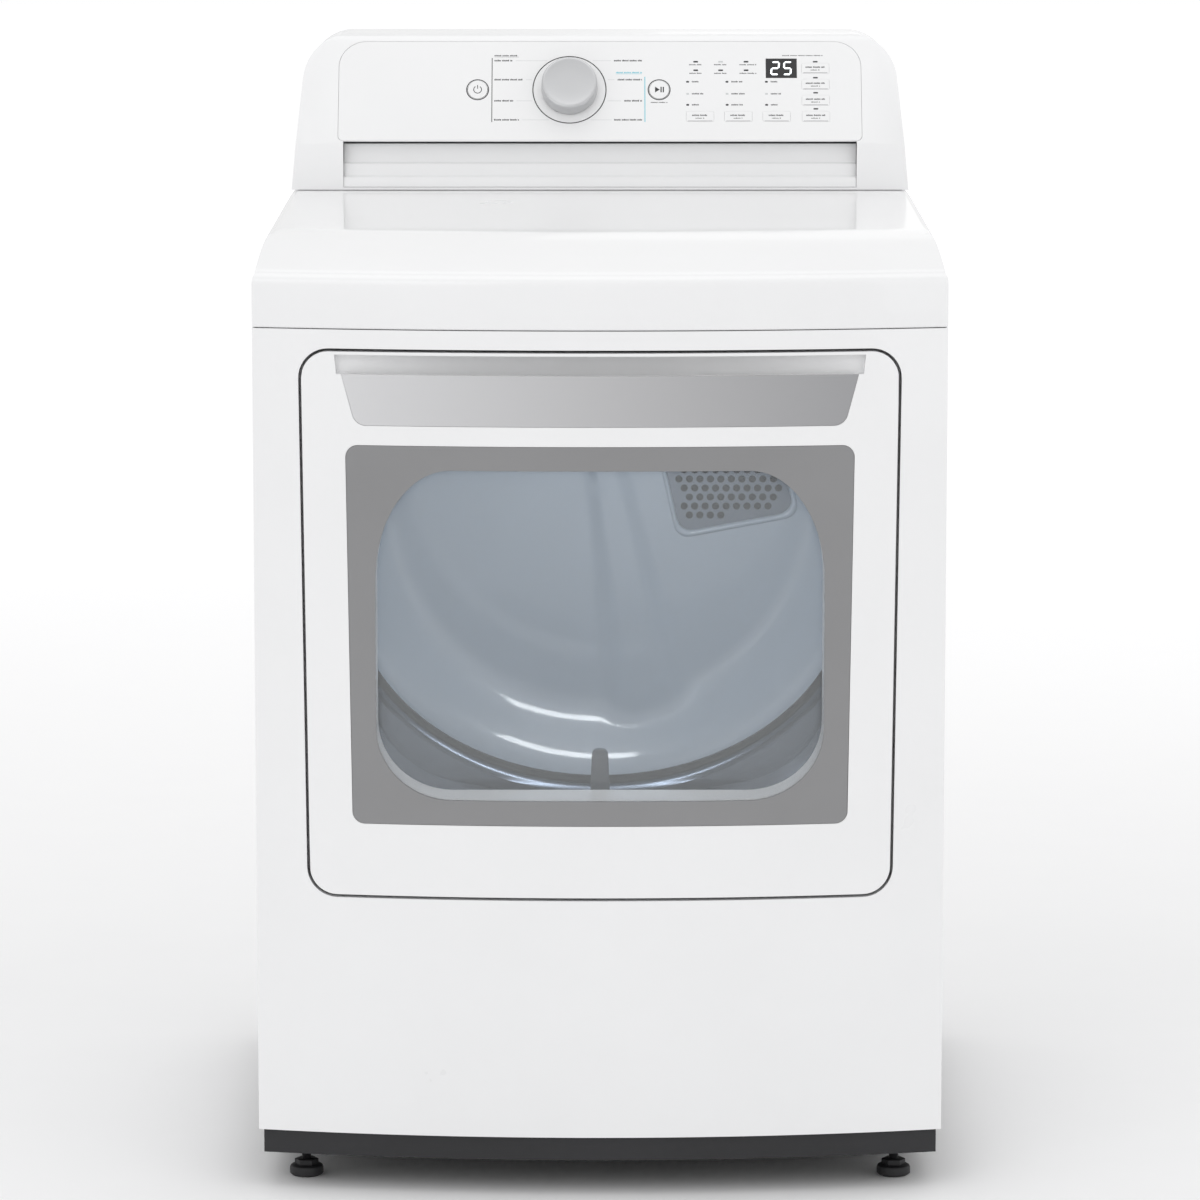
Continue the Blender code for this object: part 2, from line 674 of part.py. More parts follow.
def hinge_slot():
    """Lowest and highest points of the arc where it goes through the recess floor, with clearance."""
    inner = HINGE_RADIUS - HINGE_BAR / 2
    outer = HINGE_RADIUS + HINGE_BAR / 2
    near = LINER_BACK - HINGE_Y
    far = RECESS_FLOOR + RECESS_WALL - HINGE_Y
    low = HINGE_Z + sqrt(inner**2 - far**2) - HINGE_SLOT_GAP
    return low, HINGE_Z + sqrt(outer**2 - near**2) + HINGE_SLOT_GAP


def top_loop(height, front, side, rise):
    """Outline of the top panel at one level: inset from the front and the sides, rising to the rear."""
    half = HALF - side
    points = front_arc(half, front)
    points += [(half, CABINET_DEPTH * k / 4) for k in (1, 2, 3, 4)]
    points += [(-half, CABINET_DEPTH * k / 4) for k in (4, 3, 2, 1)]
    run = CONSOLE_SETBACK - CREST_INSET + FRONT_BOW
    level = []
    for x, y in points:
        back = min(1.0, max(0.0, (y - CREST_INSET + FRONT_BOW) / run))
        level.append((x, y, height + TOP_SLOPE * rise * back))
    return level


def make_top_panel():
    levels = (
        (SEAM + GAP, 0, 0, 0),
        (APRON_TOP - 7 * MM, 0, 0, 0),
        (APRON_TOP, 2 * MM, 1 * MM, 0.2),
        (APRON_TOP + 5 * MM, 8 * MM, 3 * MM, 0.4),
        (APRON_TOP + 18 * MM, 42 * MM, 6 * MM, 0.6),
        (CREST - 8 * MM, 76 * MM, 9 * MM, 0.8),
        (CREST - 3 * MM, 98 * MM, 13 * MM, 0.9),
        (CREST, CREST_INSET, 20 * MM, 1),
    )
    loops = [top_loop(*level) for level in levels]
    panel = add("top_panel", loft_mesh("top_panel", loops, first=False), WHITE)
    shell = panel.modifiers.new("sheet", "SOLIDIFY")
    shell.thickness = SHEET
    shell.offset = -1


# ---------------------------------------------------------------- door


def make_door():
    door = new_frame("door_axis", (0, HINGE_Y, HINGE_Z), DRYER)
    make_door_outer(door)
    make_window_pieces(door)
    make_liner(door)
    seal = [mouth_outline(14 * MM), mouth_outline(4 * MM)]
    prism("door_seal", "FRONT", seal, LINER_BACK + GAP, LINER_BACK + SEAL_DEPTH, RUBBER, door)
    for name, side in (("left", -1), ("right", 1)):
        make_hinge("door_hinge_" + name, side * HINGE_X, door)
    base = LINER_BACK + GAP
    box(
        "door_strike",
        (-STRIKE_HALF, base, STRIKE_Z - STRIKE_HEIGHT / 2),
        (STRIKE_HALF, base + STRIKE_REACH, STRIKE_Z + STRIKE_HEIGHT / 2),
        STEEL,
        door,
    )


def make_door_outer(door):
    outer = bowed("door_outer_panel", door_outline(), 0, DOOR_BACK, PLASTIC, door)
    inside = door_outline(-DOOR_SKIN)
    hollow = bowed("door_hollow", inside, DOOR_SKIN, DOOR_BACK + DOOR_SKIN, parent=door, guide=door_outline())
    pocket_high = DOOR_TOP - HANDLE_TOP
    pocket_low = pocket_high - POCKET_HEIGHT
    half = DOOR_HALF - HANDLE_SIDE
    block_low = pocket_low - POCKET_UNDERCUT - DOOR_SKIN
    block = taper(half + DOOR_SKIN, half + DOOR_SKIN, block_low, DOOR_TOP, 0)
    block_back = POCKET_FLOOR + DOOR_SKIN
    cut(hollow, prism("pocket_block", "FRONT", [block], -2 * FRONT_BOW, block_back, parent=door))
    cut(outer, hollow)
    opening = taper(half - 2 * MM, half, pocket_low, pocket_high, 0)
    cut(outer, prism("pocket_mouth", "FRONT", [opening], -2 * FRONT_BOW, POCKET_FLOOR, parent=door))
    under = taper(half - 12 * MM, half - 12 * MM, pocket_low - POCKET_UNDERCUT, pocket_high, 0)
    cut(outer, bowed("pocket_under", under, TRIM_SHEET + 4 * MM, POCKET_FLOOR, parent=door))
    seat = bowed("trim_seat", trim_outline(GAP), -DOOR_SKIN, TRIM_SHEET + GAP, parent=door, flat_back=False)
    cut(outer, seat)
    cut(outer, prism("frame_hole", "FRONT", [frame_outline(GAP)], -2 * FRONT_BOW, 2 * DOOR_BACK, parent=door))
    bowed("door_handle_trim", trim_outline(), 0, TRIM_SHEET, SILVER, door, flat_back=False)


def make_window_pieces(door):
    frame = bowed("door_window_frame", frame_outline(), 0, FRAME_SHEET, GREY, door, flat_back=False)
    cut(frame, prism("window_hole", "FRONT", [window_outline()], -2 * FRONT_BOW, 2 * DOOR_BACK, parent=door))
    front = FRAME_SHEET + GAP
    pane = window_outline(GLASS_OVERLAP)
    bowed("door_glass", pane, front, front + GLASS_SHEET, GLASS, door, flat_back=False)


def make_liner(door):
    outline = door_outline(-1 * MM)
    plate = prism("door_inner_liner", "FRONT", [outline], DOOR_BACK + GAP, LINER_BACK, PLASTIC, door)
    tunnel_front = FRAME_SHEET + GLASS_SHEET + 2 * GAP
    join(plate, bowed("liner_tunnel", window_outline(LINER_WALL), tunnel_front, BULGE_DEPTH, parent=door))
    hole = prism("liner_hole", "FRONT", [window_outline()], -2 * FRONT_BOW, 2 * BULGE_DEPTH, parent=door)
    cut(plate, hole)


def make_hinge(name, x, door):
    """A flat bar bent to an arc about the door's axis, from the liner down behind the recess."""
    start = acos((LINER_BACK + GAP - HINGE_Y) / (HINGE_RADIUS + HINGE_BAR / 2)) - 0.02
    angles = [start - radians(92) * k / 14 for k in range(15)]
    inner, outer = HINGE_RADIUS - HINGE_BAR / 2, HINGE_RADIUS + HINGE_BAR / 2
    loop = [(HINGE_Y + outer * cos(a), HINGE_Z + outer * sin(a)) for a in angles]
    loop += [(HINGE_Y + inner * cos(a), HINGE_Z + inner * sin(a)) for a in reversed(angles)]
    bar = prism(name, "SIDE", [loop], x - HINGE_WIDTH / 2, x + HINGE_WIDTH / 2, STEEL, door)
    keep = LINER_BACK + GAP
    high = (x + FLANGE, keep, HINGE_Z + 2 * HINGE_RADIUS)
    cut(bar, box(name + "_trim", (x - FLANGE, -2 * FRONT_BOW, HINGE_Z), high, parent=door))


def make_latch():
    front = RECESS_FLOOR + RECESS_WALL + GAP
    half, tall = STRIKE_HALF + CATCH_GAP, STRIKE_HEIGHT / 2 + CATCH_MARGIN
    back = LINER_BACK + STRIKE_REACH + CATCH_MARGIN
    low = (-half - CATCH_WALL, front, STRIKE_Z - tall - CATCH_WALL)
    high = (half + CATCH_WALL, back + CATCH_WALL, STRIKE_Z + tall + CATCH_WALL)
    body = box("latch_catch", low, high, BLACK)
    cut(body, box("latch_hollow", (-half, 0, STRIKE_Z - tall), (half, back, STRIKE_Z + tall)))


# ---------------------------------------------------------------- mouth, drum and rollers


def at_depth(outline, y):
    return [(u, y, v) for u, v in outline]


def resample(outline, count, centre):
    """Where rays at even angles from the centre cross an outline, so that unlike sections can be lofted."""
    points = []
    for k in range(count):
        angle = 2 * pi * (k + 0.5) / count
        ray = Vector((cos(angle), sin(angle)))
        for (u0, v0), (u1, v1) in zip(outline, outline[1:] + outline[:1]):
            edge = Vector((u1 - u0, v1 - v0))
            start = Vector((u0, v0 - centre))
            across = ray.cross(edge)
            if abs(across) < 1e-12:
                continue
            along = start.cross(ray) / across
            reach = start.cross(edge) / across
            if -1e-6 <= along <= 1 + 1e-6 and reach > 0:
                points.append((ray.x * reach, centre + ray.y * reach))
                break
    return points


def collar_loops(grow, front, back):
    oval_half, oval_high = OVAL_HALF + SEAL_BAND + grow, OVAL_HALF_HEIGHT + SEAL_BAND + grow
    mouth = resample(mouth_outline(grow), 48, DRUM_Z)
    rear = resample(oval(oval_half, oval_high, DRUM_Z, 96), 48, DRUM_Z)
    return [at_depth(mouth, front), at_depth(rear, back)]


def make_front_bulkhead():
    front = RECESS_FLOOR + RECESS_WALL + GAP
    half = HALF - 8 * MM
    plate = taper(half, half, DRUM_Z - DRUM_RADIUS - 15 * MM, DRUM_Z + DRUM_RADIUS - 5 * MM, 0)
    body = prism("front_bulkhead", "FRONT", [plate], BULKHEAD_DEPTH, BULKHEAD_DEPTH + SHEET, STEEL)
    join(body, add("collar", loft_mesh("collar", collar_loops(SHEET, front, COLLAR_BACK))))
    inner = collar_loops(0, front - SHEET, COLLAR_BACK + SHEET)
    cut(body, add("collar_inside", loft_mesh("collar_inside", inner)))
    half = FILTER_WIDTH / 2 + FILTER_GAP
    deep = FILTER_THICKNESS / 2 + FILTER_GAP
    slot_low = (-half, FILTER_CENTRE - deep, MOUTH_LOW - 20 * MM)
    slot_high = (half, FILTER_CENTRE + deep, MOUTH_LOW + 40 * MM)
    cut(body, box("filter_slot", slot_low, slot_high))
    wide = half + DUCT_WALL + 2 * GAP
    under = MOUTH_LOW - SHEET - 2 * MM
    cut(body, box("duct_notch", (-wide, 0, 0), (wide, BULKHEAD_DEPTH + 2 * SHEET, under)))
    outer = ring(0, DRUM_Z, DRUM_RADIUS - DRUM_LIP + 22 * MM, 64)
    seal = [outer, oval(OVAL_HALF, OVAL_HALF_HEIGHT, DRUM_Z, 64)]
    prism("drum_front_seal", "FRONT", seal, COLLAR_BACK + GAP, DRUM_FRONT - RUNNING_GAP, RUBBER)


def make_rear_bulkhead():
    half = HALF - 6 * MM
    low, high = DRUM_Z - DRUM_RADIUS - 15 * MM, DRUM_Z + DRUM_RADIUS - 5 * MM
    y = REAR_SHEET_Y
    square = resample(taper(half, half, low, high, 0), DISH_SIDES, DRUM_Z)
    cone = DRUM_RADIUS - 22 * MM
    loops = [at_depth(square, y)]
    for share in (0, 0.1, 0.9, 1):
        radius = cone + (DISH_RADIUS - cone) * share
        centre = DRUM_Z + DISH_RAISE * share
        depth = y + DISH_DEPTH * (0.5 - 0.5 * cos(pi * share))
        loops.append(at_depth(resample(ring(0, centre, radius, 2 * DISH_SIDES), DISH_SIDES, DRUM_Z), depth))
    dish = add("rear_bulkhead", loft_mesh("rear_bulkhead", loops, first=False), ENAMEL)
    shell = dish.modifiers.new("sheet", "SOLIDIFY")
    shell.thickness = SHEET
    shell.offset = 0
    cut(dish, prism("grille_hole", "FRONT", [grille_outline(2 * MM)], y, y + 2 * DISH_DEPTH))


def grille_outline(grow=0.0):
    """The hot-air inlet at the upper right of the dish."""
    centre = DRUM_Z + DISH_RAISE
    share = DISH_RADIUS
    corners = [(0.39, -0.21), (0.93, -0.11), (0.77, 0.49), (0.23, 0.49)]
    outline = [(share * u, centre + share * v, 16 * MM) for u, v in corners]
    middle = Vector((sum(p[0] for p in outline) / 4, sum(p[1] for p in outline) / 4))
    grown = []
    for u, v, radius in outline:
        away = (Vector((u, v)) - middle).normalized() * grow
        grown.append((u + away.x, v + away.y, radius))
    return fillet(grown)


def inside(outline, u, v, margin):
    """Whether a point lies this far inside a convex outline that runs anticlockwise."""
    for (u0, v0), (u1, v1) in zip(outline, outline[1:] + outline[:1]):
        edge = Vector((u1 - u0, v1 - v0))
        if edge.length > 1e-9 and edge.normalized().cross(Vector((u - u0, v - v0))) < margin:
            return False
    return True


def make_grille_and_heater():
    y = REAR_SHEET_Y + DISH_DEPTH + SHEET
    outline = grille_outline(6 * MM)
    pitch, radius = GRILLE_PITCH, GRILLE_HOLE
    left, right = min(u for u, v in outline), max(u for u, v in outline)
    low, high = min(v for u, v in outline), max(v for u, v in outline)
    holes = []
    for row in range(int((high - low) / pitch) + 1):
        v = low + 20 * MM + row * pitch * 0.87
        for column in range(int((right - left) / pitch) + 1):
            u = left + 18 * MM + (column + row % 2 / 2) * pitch
            if inside(outline, u, v, radius + 3 * MM):
                holes.append(ring(u, v, radius, 6))
    prism("air_inlet_grille", "FRONT", [outline] + holes, y, y + GRILLE_SHEET, STEEL)
    front = y + GRILLE_SHEET + GAP
    back = REAR_PANEL_Y - 2 * MM
    shape = ((left, front, low - 150 * MM), (right, back, high))
    duct = box("heater_duct", *shape, STEEL)
    wall = DUCT_WALL
    inner_low = (left + wall, front - wall, low - 160 * MM)
    cut(duct, box("heater_inside", inner_low, (right - wall, back - wall, high - wall)))


def make_drum():
    centre = (0, 0, DRUM_Z)
    outer, inner = DRUM_RADIUS, DRUM_RADIUS - DRUM_WALL
    lip = DRUM_RADIUS - DRUM_LIP
    profile = [
        (lip, DRUM_FRONT),
        (outer, DRUM_FRONT),
        (outer, DRUM_BACK),
        (inner, DRUM_BACK),
        (inner, DRUM_FRONT + DRUM_WALL),
        (lip, DRUM_FRONT + DRUM_WALL),
    ]
    turned("drum_shell", profile, centre, ENAMEL, steps=72)
    start = DRUM_FRONT + 32 * MM
    root = inner * cos(pi / 72) - GAP
    for number, angle in enumerate(LIFTER_ANGLES, 1):
        half = LIFTER_WIDTH / 2
        chord = sqrt(root**2 - half**2)
        tip = root - LIFTER_HEIGHT
        crest = [(12 * MM, -tip, 10 * MM), (-12 * MM, -tip, 10 * MM)]
        section = fillet([(-half, -chord, 0), (half, -chord, 0)] + crest, 3)
        frame = new_frame(f"lifter_{number}_axis", centre, DRYER)
        end = start + LIFTER_LENGTH
        lifter = prism(f"drum_lifter_{number}", "FRONT", [section], start, end, PLASTIC, frame)
        lifter.location.z = 0
        frame.rotation_euler.y = -radians(angle + 90)
        lifter.location += Vector(centre)
        lifter.location.z = 0


def make_rollers():
    reach = DRUM_RADIUS + RUNNING_GAP + ROLLER_RADIUS
    back = DRUM_BACK - 20 * MM
    front = back - ROLLER_WIDTH
    for name, side in (("left", -1), ("right", 1)):
        angle = radians(ROLLER_ANGLE)
        centre = (side * reach * sin(angle), 0, DRUM_Z - reach * cos(angle))
        bore = ROLLER_SHAFT_RADIUS + BORE_GAP
        profile = [(bore, front), (ROLLER_RADIUS, front), (ROLLER_RADIUS, back), (bore, back)]
        turned("drum_roller_" + name, profile, centre, RUBBER, steps=32)
        shaft = [(0, front - 5 * MM), (ROLLER_SHAFT_RADIUS + 4 * MM, front - 5 * MM)]
        shaft += [(ROLLER_SHAFT_RADIUS + 4 * MM, front - 1 * MM), (ROLLER_SHAFT_RADIUS, front - 1 * MM)]
        end = REAR_SHEET_Y - SHEET
        shaft += [(ROLLER_SHAFT_RADIUS, end), (0, end)]
        turned("roller_shaft_" + name, shaft, centre, STEEL, steps=20)


# ---------------------------------------------------------------- drive


def belt_line():
    """Unit normal of the belt's right-hand run, from the pulley to the drum."""
    rise = (BELT_RADIUS - PULLEY_RADIUS - RUNNING_GAP) / (DRUM_Z - MOTOR_HEIGHT)
    return Vector((sqrt(1 - rise**2), -rise))


def belt_loop(offset):
    normal = belt_line()
    tilt = atan2(normal.y, normal.x)
    points = []
    for k in range(49):
        angle = tilt + (pi - 2 * tilt) * k / 48
        points.append(((BELT_RADIUS + offset) * cos(angle), DRUM_Z + (BELT_RADIUS + offset) * sin(angle)))
    radius = PULLEY_RADIUS + RUNNING_GAP + offset
    for k in range(9):
        angle = pi - tilt + (pi + 2 * tilt) * k / 8
        points.append((radius * cos(angle), MOTOR_HEIGHT + radius * sin(angle)))
    return points


def idler_centre():
    normal = belt_line()
    low = Vector((0, MOTOR_HEIGHT)) + normal * (PULLEY_RADIUS + RUNNING_GAP)
    high = Vector((0, DRUM_Z)) + normal * BELT_RADIUS
    spot = low.lerp(high, IDLER_SHARE)
    return spot + normal * (BELT_THICKNESS + RUNNING_GAP + IDLER_RADIUS)


def make_drive():
    half = BELT_WIDTH / 2
    loops = [belt_loop(BELT_THICKNESS), belt_loop(0)]
    prism("drive_belt", "FRONT", loops, BELT_DEPTH - half, BELT_DEPTH + half, RUBBER)
    axis = (0, 0, MOTOR_HEIGHT)
    bore = MOTOR_SHAFT_RADIUS + BORE_GAP
    profile = [(bore, MOTOR_FRONT), (MOTOR_RADIUS * 0.8, MOTOR_FRONT), (MOTOR_RADIUS, MOTOR_FRONT + 12 * MM)]
    profile += [(MOTOR_RADIUS, MOTOR_BACK - 12 * MM), (MOTOR_RADIUS * 0.8, MOTOR_BACK), (bore, MOTOR_BACK)]
    motor = turned("drive_motor", profile, axis, STEEL, steps=32)
    mount_half = 36 * MM
    ends = (MOTOR_FRONT + 30 * MM, MOTOR_BACK - 30 * MM)
    foot_low = (-mount_half, ends[0], FOOT_HEIGHT + SHEET + GAP)
    foot = box("motor_mount", foot_low, (mount_half, ends[1], MOTOR_HEIGHT - MOTOR_RADIUS / 2))
    clear = bore + 8 * MM
    cut(foot, turned("mount_clear", [(0, 0), (clear, 0), (clear, DRUM_BACK), (0, DRUM_BACK)], axis, steps=20))
    join(motor, foot)
    pulley_front, pulley_back = BELT_DEPTH - 10 * MM, BELT_DEPTH + 10 * MM
    step = MOTOR_SHAFT_RADIUS
    start, end = BLOWER_FRONT + 8 * MM, pulley_back + 4 * MM
    shaft = [(0, start), (step, start), (step, pulley_front), (PULLEY_RADIUS, pulley_front)]
    shaft += [(PULLEY_RADIUS, pulley_back), (step, pulley_back), (step, end), (0, end)]
    turned("motor_shaft", shaft, axis, STEEL, steps=24)
    make_idler()


def make_idler():
    spot = idler_centre()
    low = idler_pivot()
    centre = (spot.x, 0, spot.y)
    half = BELT_WIDTH / 2 + 2 * MM
    bore = 5 * MM + BORE_GAP
    profile = [(bore, BELT_DEPTH - half), (IDLER_RADIUS, BELT_DEPTH - half), (IDLER_RADIUS, BELT_DEPTH + half)]
    turned("idler_pulley", profile + [(bore, BELT_DEPTH + half)], centre, BLACK, steps=32)
    front = BELT_DEPTH + half + 1 * MM
    back = front + 4 * MM
    along = (spot - low).normalized()
    across = Vector((-along.y, along.x)) * 9 * MM
    corners = [low - across - along * 9 * MM, spot - across + along * 9 * MM]
    corners += [spot + across + along * 9 * MM, low + across - along * 9 * MM]
    outline = fillet([(p.x, p.y, 6 * MM) for p in corners], 3)
    arm = prism("idler_arm", "FRONT", [outline, ring(low.x, low.y, 4 * MM + BORE_GAP, 16)], front, back, STEEL)
    join(arm, disc("idler_pin", centre, 5 * MM, BELT_DEPTH - half - 3 * MM, front + 2 * MM, steps=16))
    stud = disc("idler_stud", (low.x, 0, low.y), 4 * MM, front - 4 * MM, back + 6 * MM, steps=16)
    foot = (low.x - 14 * MM, back + 2 * MM, FOOT_HEIGHT + SHEET / 2)
    bracket = box("idler_bracket", foot, (low.x + 14 * MM, back + 5 * MM, low.y + 12 * MM))
    join(bpy.data.objects["base_pan"], bracket, stud)


def idler_pivot():
    """Where the idler arm turns: back along the belt's run from the idler, so that it swings off the belt."""
    normal = belt_line()
    return idler_centre() - Vector((-normal.y, normal.x)) * IDLER_ARM_LENGTH


# ---------------------------------------------------------------- air path


def make_blower():
    axis = (0, 0, MOTOR_HEIGHT)
    back = BLOWER_FRONT + BLOWER_DEPTH
    outer = [(0, BLOWER_FRONT), (BLOWER_RADIUS, BLOWER_FRONT), (BLOWER_RADIUS, back), (0, back)]
    housing = turned("blower_housing", outer, axis, PLASTIC, steps=40)
    low, high = EXHAUST_HEIGHT - 44 * MM, MOTOR_HEIGHT
    reach = BLOWER_RADIUS + 10 * MM
    join(housing, box("spout", (-reach, BLOWER_FRONT, low), (0, back, high)))
    wall = DUCT_WALL
    radius = BLOWER_RADIUS - wall
    inner = [(0, BLOWER_FRONT + wall), (radius, BLOWER_FRONT + wall), (radius, back - wall), (0, back - wall)]
    inside = turned("blower_inside", inner, axis, steps=40)
    spout = box("spout_inside", (-reach - wall, BLOWER_FRONT + wall, low + wall), (0, back - wall, high - wall))
    hole = disc("shaft_hole", axis, MOTOR_SHAFT_RADIUS + 2 * MM, BLOWER_FRONT + wall, back + wall, steps=20)
    inlet = disc("blower_inlet", axis, BLOWER_INLET, BLOWER_FRONT - wall, BLOWER_FRONT + 2 * wall)
    cut(housing, inside, spout, hole, inlet)
    make_impeller(axis, back)
    make_exhaust(reach)
    make_lint_duct()


def make_impeller(axis, back):
    """A flat star of blades around a hub, drawn out along the shaft."""
    points = []
    for k in range(IMPELLER_BLADES):
        turn = 2 * pi * k / IMPELLER_BLADES
        for radius, offset in ((24 * MM, -0.16), (IMPELLER_RADIUS, -0.03), (IMPELLER_RADIUS, 0.03), (24 * MM, 0.16)):
            angle = turn + offset
            points.append((axis[0] + radius * cos(angle), axis[2] + radius * sin(angle)))
    bore = ring(axis[0], axis[2], MOTOR_SHAFT_RADIUS + GAP, 24)
    front = BLOWER_FRONT + 10 * MM
    prism("blower_wheel", "FRONT", [points, bore], front, back - 8 * MM, BLACK)


def smooth_route(points, count):
    """Points along a Catmull-Rom curve through the route's own points."""
    nodes = [Vector(p) for p in points]
    nodes = [nodes[0] * 2 - nodes[1]] + nodes + [nodes[-1] * 2 - nodes[-2]]
    found = []
    for i in range(1, len(nodes) - 2):
        for k in range(count):
            t = k / count
            a, b, c, d = nodes[i - 1 : i + 3]
            square, cube = 2 * a - 5 * b + 4 * c - d, 3 * b - a - 3 * c + d
            found.append(0.5 * (2 * b + (c - a) * t + square * t**2 + cube * t**3))
    return found + [nodes[-2]]


def make_exhaust(reach):
    """A round pipe from the blower's spout, along one side of the motor, to the middle of the rear."""
    y = BLOWER_FRONT + BLOWER_DEPTH / 2 + 10 * MM
    z = EXHAUST_HEIGHT
    side_x = -EXHAUST_OFFSET - 44 * MM
    route = [(-reach - 3 * MM, y, z), (-reach - 30 * MM, y, z), (side_x, y + 46 * MM, z)]
    route += [(side_x, MOTOR_BACK + 20 * MM, z), (side_x / 2, MOTOR_BACK + 180 * MM, z)]
    route += [(0, MOTOR_BACK + 300 * MM, z), (0, CABINET_DEPTH + REAR_STUB, z)]
    path = smooth_route(route, 3)
    loops = []
    for i, spot in enumerate(path):
        ahead = (path[min(i + 1, len(path) - 1)] - path[max(i - 1, 0)]).normalized()
        if i == 0:
            ahead = Vector((-1, 0, 0))
        if i == len(path) - 1:
            ahead = Vector((0, 1, 0))
        side = ahead.cross(Vector((0, 0, 1))).normalized()
        up = side.cross(ahead)
        angles = [2 * pi * k / EXHAUST_SIDES for k in range(EXHAUST_SIDES)]
        loops.append([spot + (side * cos(a) + up * sin(a)) * (EXHAUST_RADIUS - DUCT_WALL) for a in angles])
    pipe = add("exhaust_duct", loft_mesh("exhaust_duct", loops, first=False, last=False), STEEL)
    wall = pipe.modifiers.new("wall", "SOLIDIFY")
    wall.thickness = SHEET
    wall.offset = 0


def make_lint_duct():
    """The filter's duct, open at the top, with a round hole behind into the blower."""
    half = FILTER_WIDTH / 2 + FILTER_GAP
    front = FILTER_CENTRE - FILTER_THICKNESS / 2 - FILTER_GAP
    wall = DUCT_WALL
    top = MOUTH_LOW - SHEET - 4 * MM
    low = MOTOR_HEIGHT - BLOWER_INLET - 14 * MM
    duct_back = BLOWER_FRONT - GAP
    duct = box("lint_duct", (-half - wall, front - wall, low), (half + wall, duct_back, top), PLASTIC)
    inside_low = (-half, front, low + wall)
    cut(duct, box("lint_inside", inside_low, (half, duct_back - wall, top + wall)))
    radius = BLOWER_INLET
    cut(duct, disc("lint_outlet", (0, 0, MOTOR_HEIGHT), radius, duct_back - 2 * wall, duct_back + wall, steps=24))


def make_lint_filter():
    """A flat filter with a top bar and a grip, which slides up out of its duct."""
    half, deep = FILTER_WIDTH / 2, FILTER_THICKNESS / 2
    top = MOUTH_LOW + 14 * MM
    near, far = FILTER_CENTRE - deep, FILTER_CENTRE + deep
    body = box("lint_filter", (-half, near, top - FILTER_HEIGHT), (half, far, top), FILTER)
    rim = 10 * MM
    opening = (rim - half, near + 2 * MM, top - FILTER_HEIGHT + rim)
    cut(body, box("filter_window", opening, (half - rim, far + rim, top - 2 * rim)))
    width, thickness, height = FILTER_HANDLE
    grip = taper(width / 2, width / 2 - 2 * MM, top - 2 * MM, top + height, 6 * MM)
    middle = FILTER_CENTRE
    join(body, prism("filter_grip", "FRONT", [grip], middle - thickness / 2, middle + thickness / 2))


# ---------------------------------------------------------------- console


def make_console():
    sides = HALF - CONSOLE_SIDE_INSET
    side_loop = console_side_outline(0)
    body = prism("console_housing", "SIDE", [side_loop], -sides, sides, PLASTIC)
    front = prism("console_front", "FRONT", [console_front_outline(0)], 0, CABINET_DEPTH + FLANGE)
    combine(body, front, "INTERSECT")
    inner = prism("console_inner", "SIDE", [console_side_outline(CONSOLE_WALL)], -sides, sides)
    front = console_front_outline(CONSOLE_WALL)
    combine(inner, prism("console_inner_front", "FRONT", [front], 0, 2 * CABINET_DEPTH), "INTERSECT")
    cut(body, inner)
    trim_half = HALF - TRIM_PANEL_SIDE + GAP
    low = TOP_FLAT + 3 * MM
    opening = (trim_half, FASCIA_LOWER_DEPTH + 30 * MM, FASCIA_LOW + 2 * MM)
    cut(body, box("trim_window", (-trim_half, 0, low), opening))
    face = make_fascia_frame()
    cut(body, fascia_prism("fascia_window", [fascia_outline(GAP)], -12 * MM, 12 * MM, None, face))
    make_lower_trim(low)
    make_fascia(face)
    half = sides - CONSOLE_WALL - 16 * MM
    cover = taper(half, half, TOP_FLAT + 8 * MM, HEIGHT - CONSOLE_SHOULDER, 0)
    back = CABINET_DEPTH
    prism("console_rear_cover", "FRONT", [cover], back - SHEET, back, WHITE)
    grown = taper(half + GAP, half + GAP, TOP_FLAT + 8 * MM - GAP, HEIGHT - CONSOLE_SHOULDER + GAP, 0)
    cut(body, prism("cover_window", "FRONT", [grown], back - 20 * MM, back + 20 * MM))


def console_side_outline(wall):
    """The console seen from its side: a low front, a face leaning back, and a rounded top."""
    lower = FASCIA_LOWER_DEPTH - 2 * MM + wall
    base = TOP_FLAT + GAP + wall
    back = CABINET_DEPTH - wall
    top = HEIGHT - wall
    lean = (FASCIA_UPPER_DEPTH - FASCIA_LOWER_DEPTH) / (FASCIA_HIGH - FASCIA_LOW)
    upper = FASCIA_LOWER_DEPTH + wall * 1.15 + lean * (HEIGHT - FASCIA_LOW)
    corners = [(lower + 3 * MM, base, 0), (back, base, 0), (back, top, 10 * MM)]
    return fillet(corners + [(upper, top, 14 * MM), (lower, FASCIA_LOW - 4 * MM, 0)])


def console_front_outline(wall):
    low = HALF - CONSOLE_SIDE_INSET - wall
    high = HALF - CONSOLE_SHOULDER_INSET - wall
    top = HEIGHT - wall
    base = TOP_FLAT - FLANGE
    shoulder = CONSOLE_SHOULDER - wall
    corners = [(-low, base, 0), (low, base, 0), (high, top, shoulder), (-high, top, shoulder)]
    return fillet(corners, 6)


def make_fascia_frame():
    middle = ((FASCIA_LOWER_DEPTH + FASCIA_UPPER_DEPTH) / 2, (FASCIA_LOW + FASCIA_HIGH) / 2)
    return new_frame("fascia_plane", (0, middle[0], middle[1]), DRYER, FASCIA_TILT)


def fascia_prism(name, loops, low, high, material, face):
    """A prism on the leaning face: u to the right, v up the slope, low and high out of it."""
    obj = prism(name, "PLAN", loops, low, high, material, face)
    obj.location = (0, 0, (low + high) / 2)
    return obj


def fascia_outline(grow=0.0):
    half, tall = FASCIA_HALF + grow, FASCIA_LENGTH / 2 + grow
    low, high = FASCIA_LOW_CORNER, FASCIA_TOP_CORNER
    return fillet([(-half, -tall, low), (half, -tall, low), (half, tall, high), (-half, tall, high)], 5)


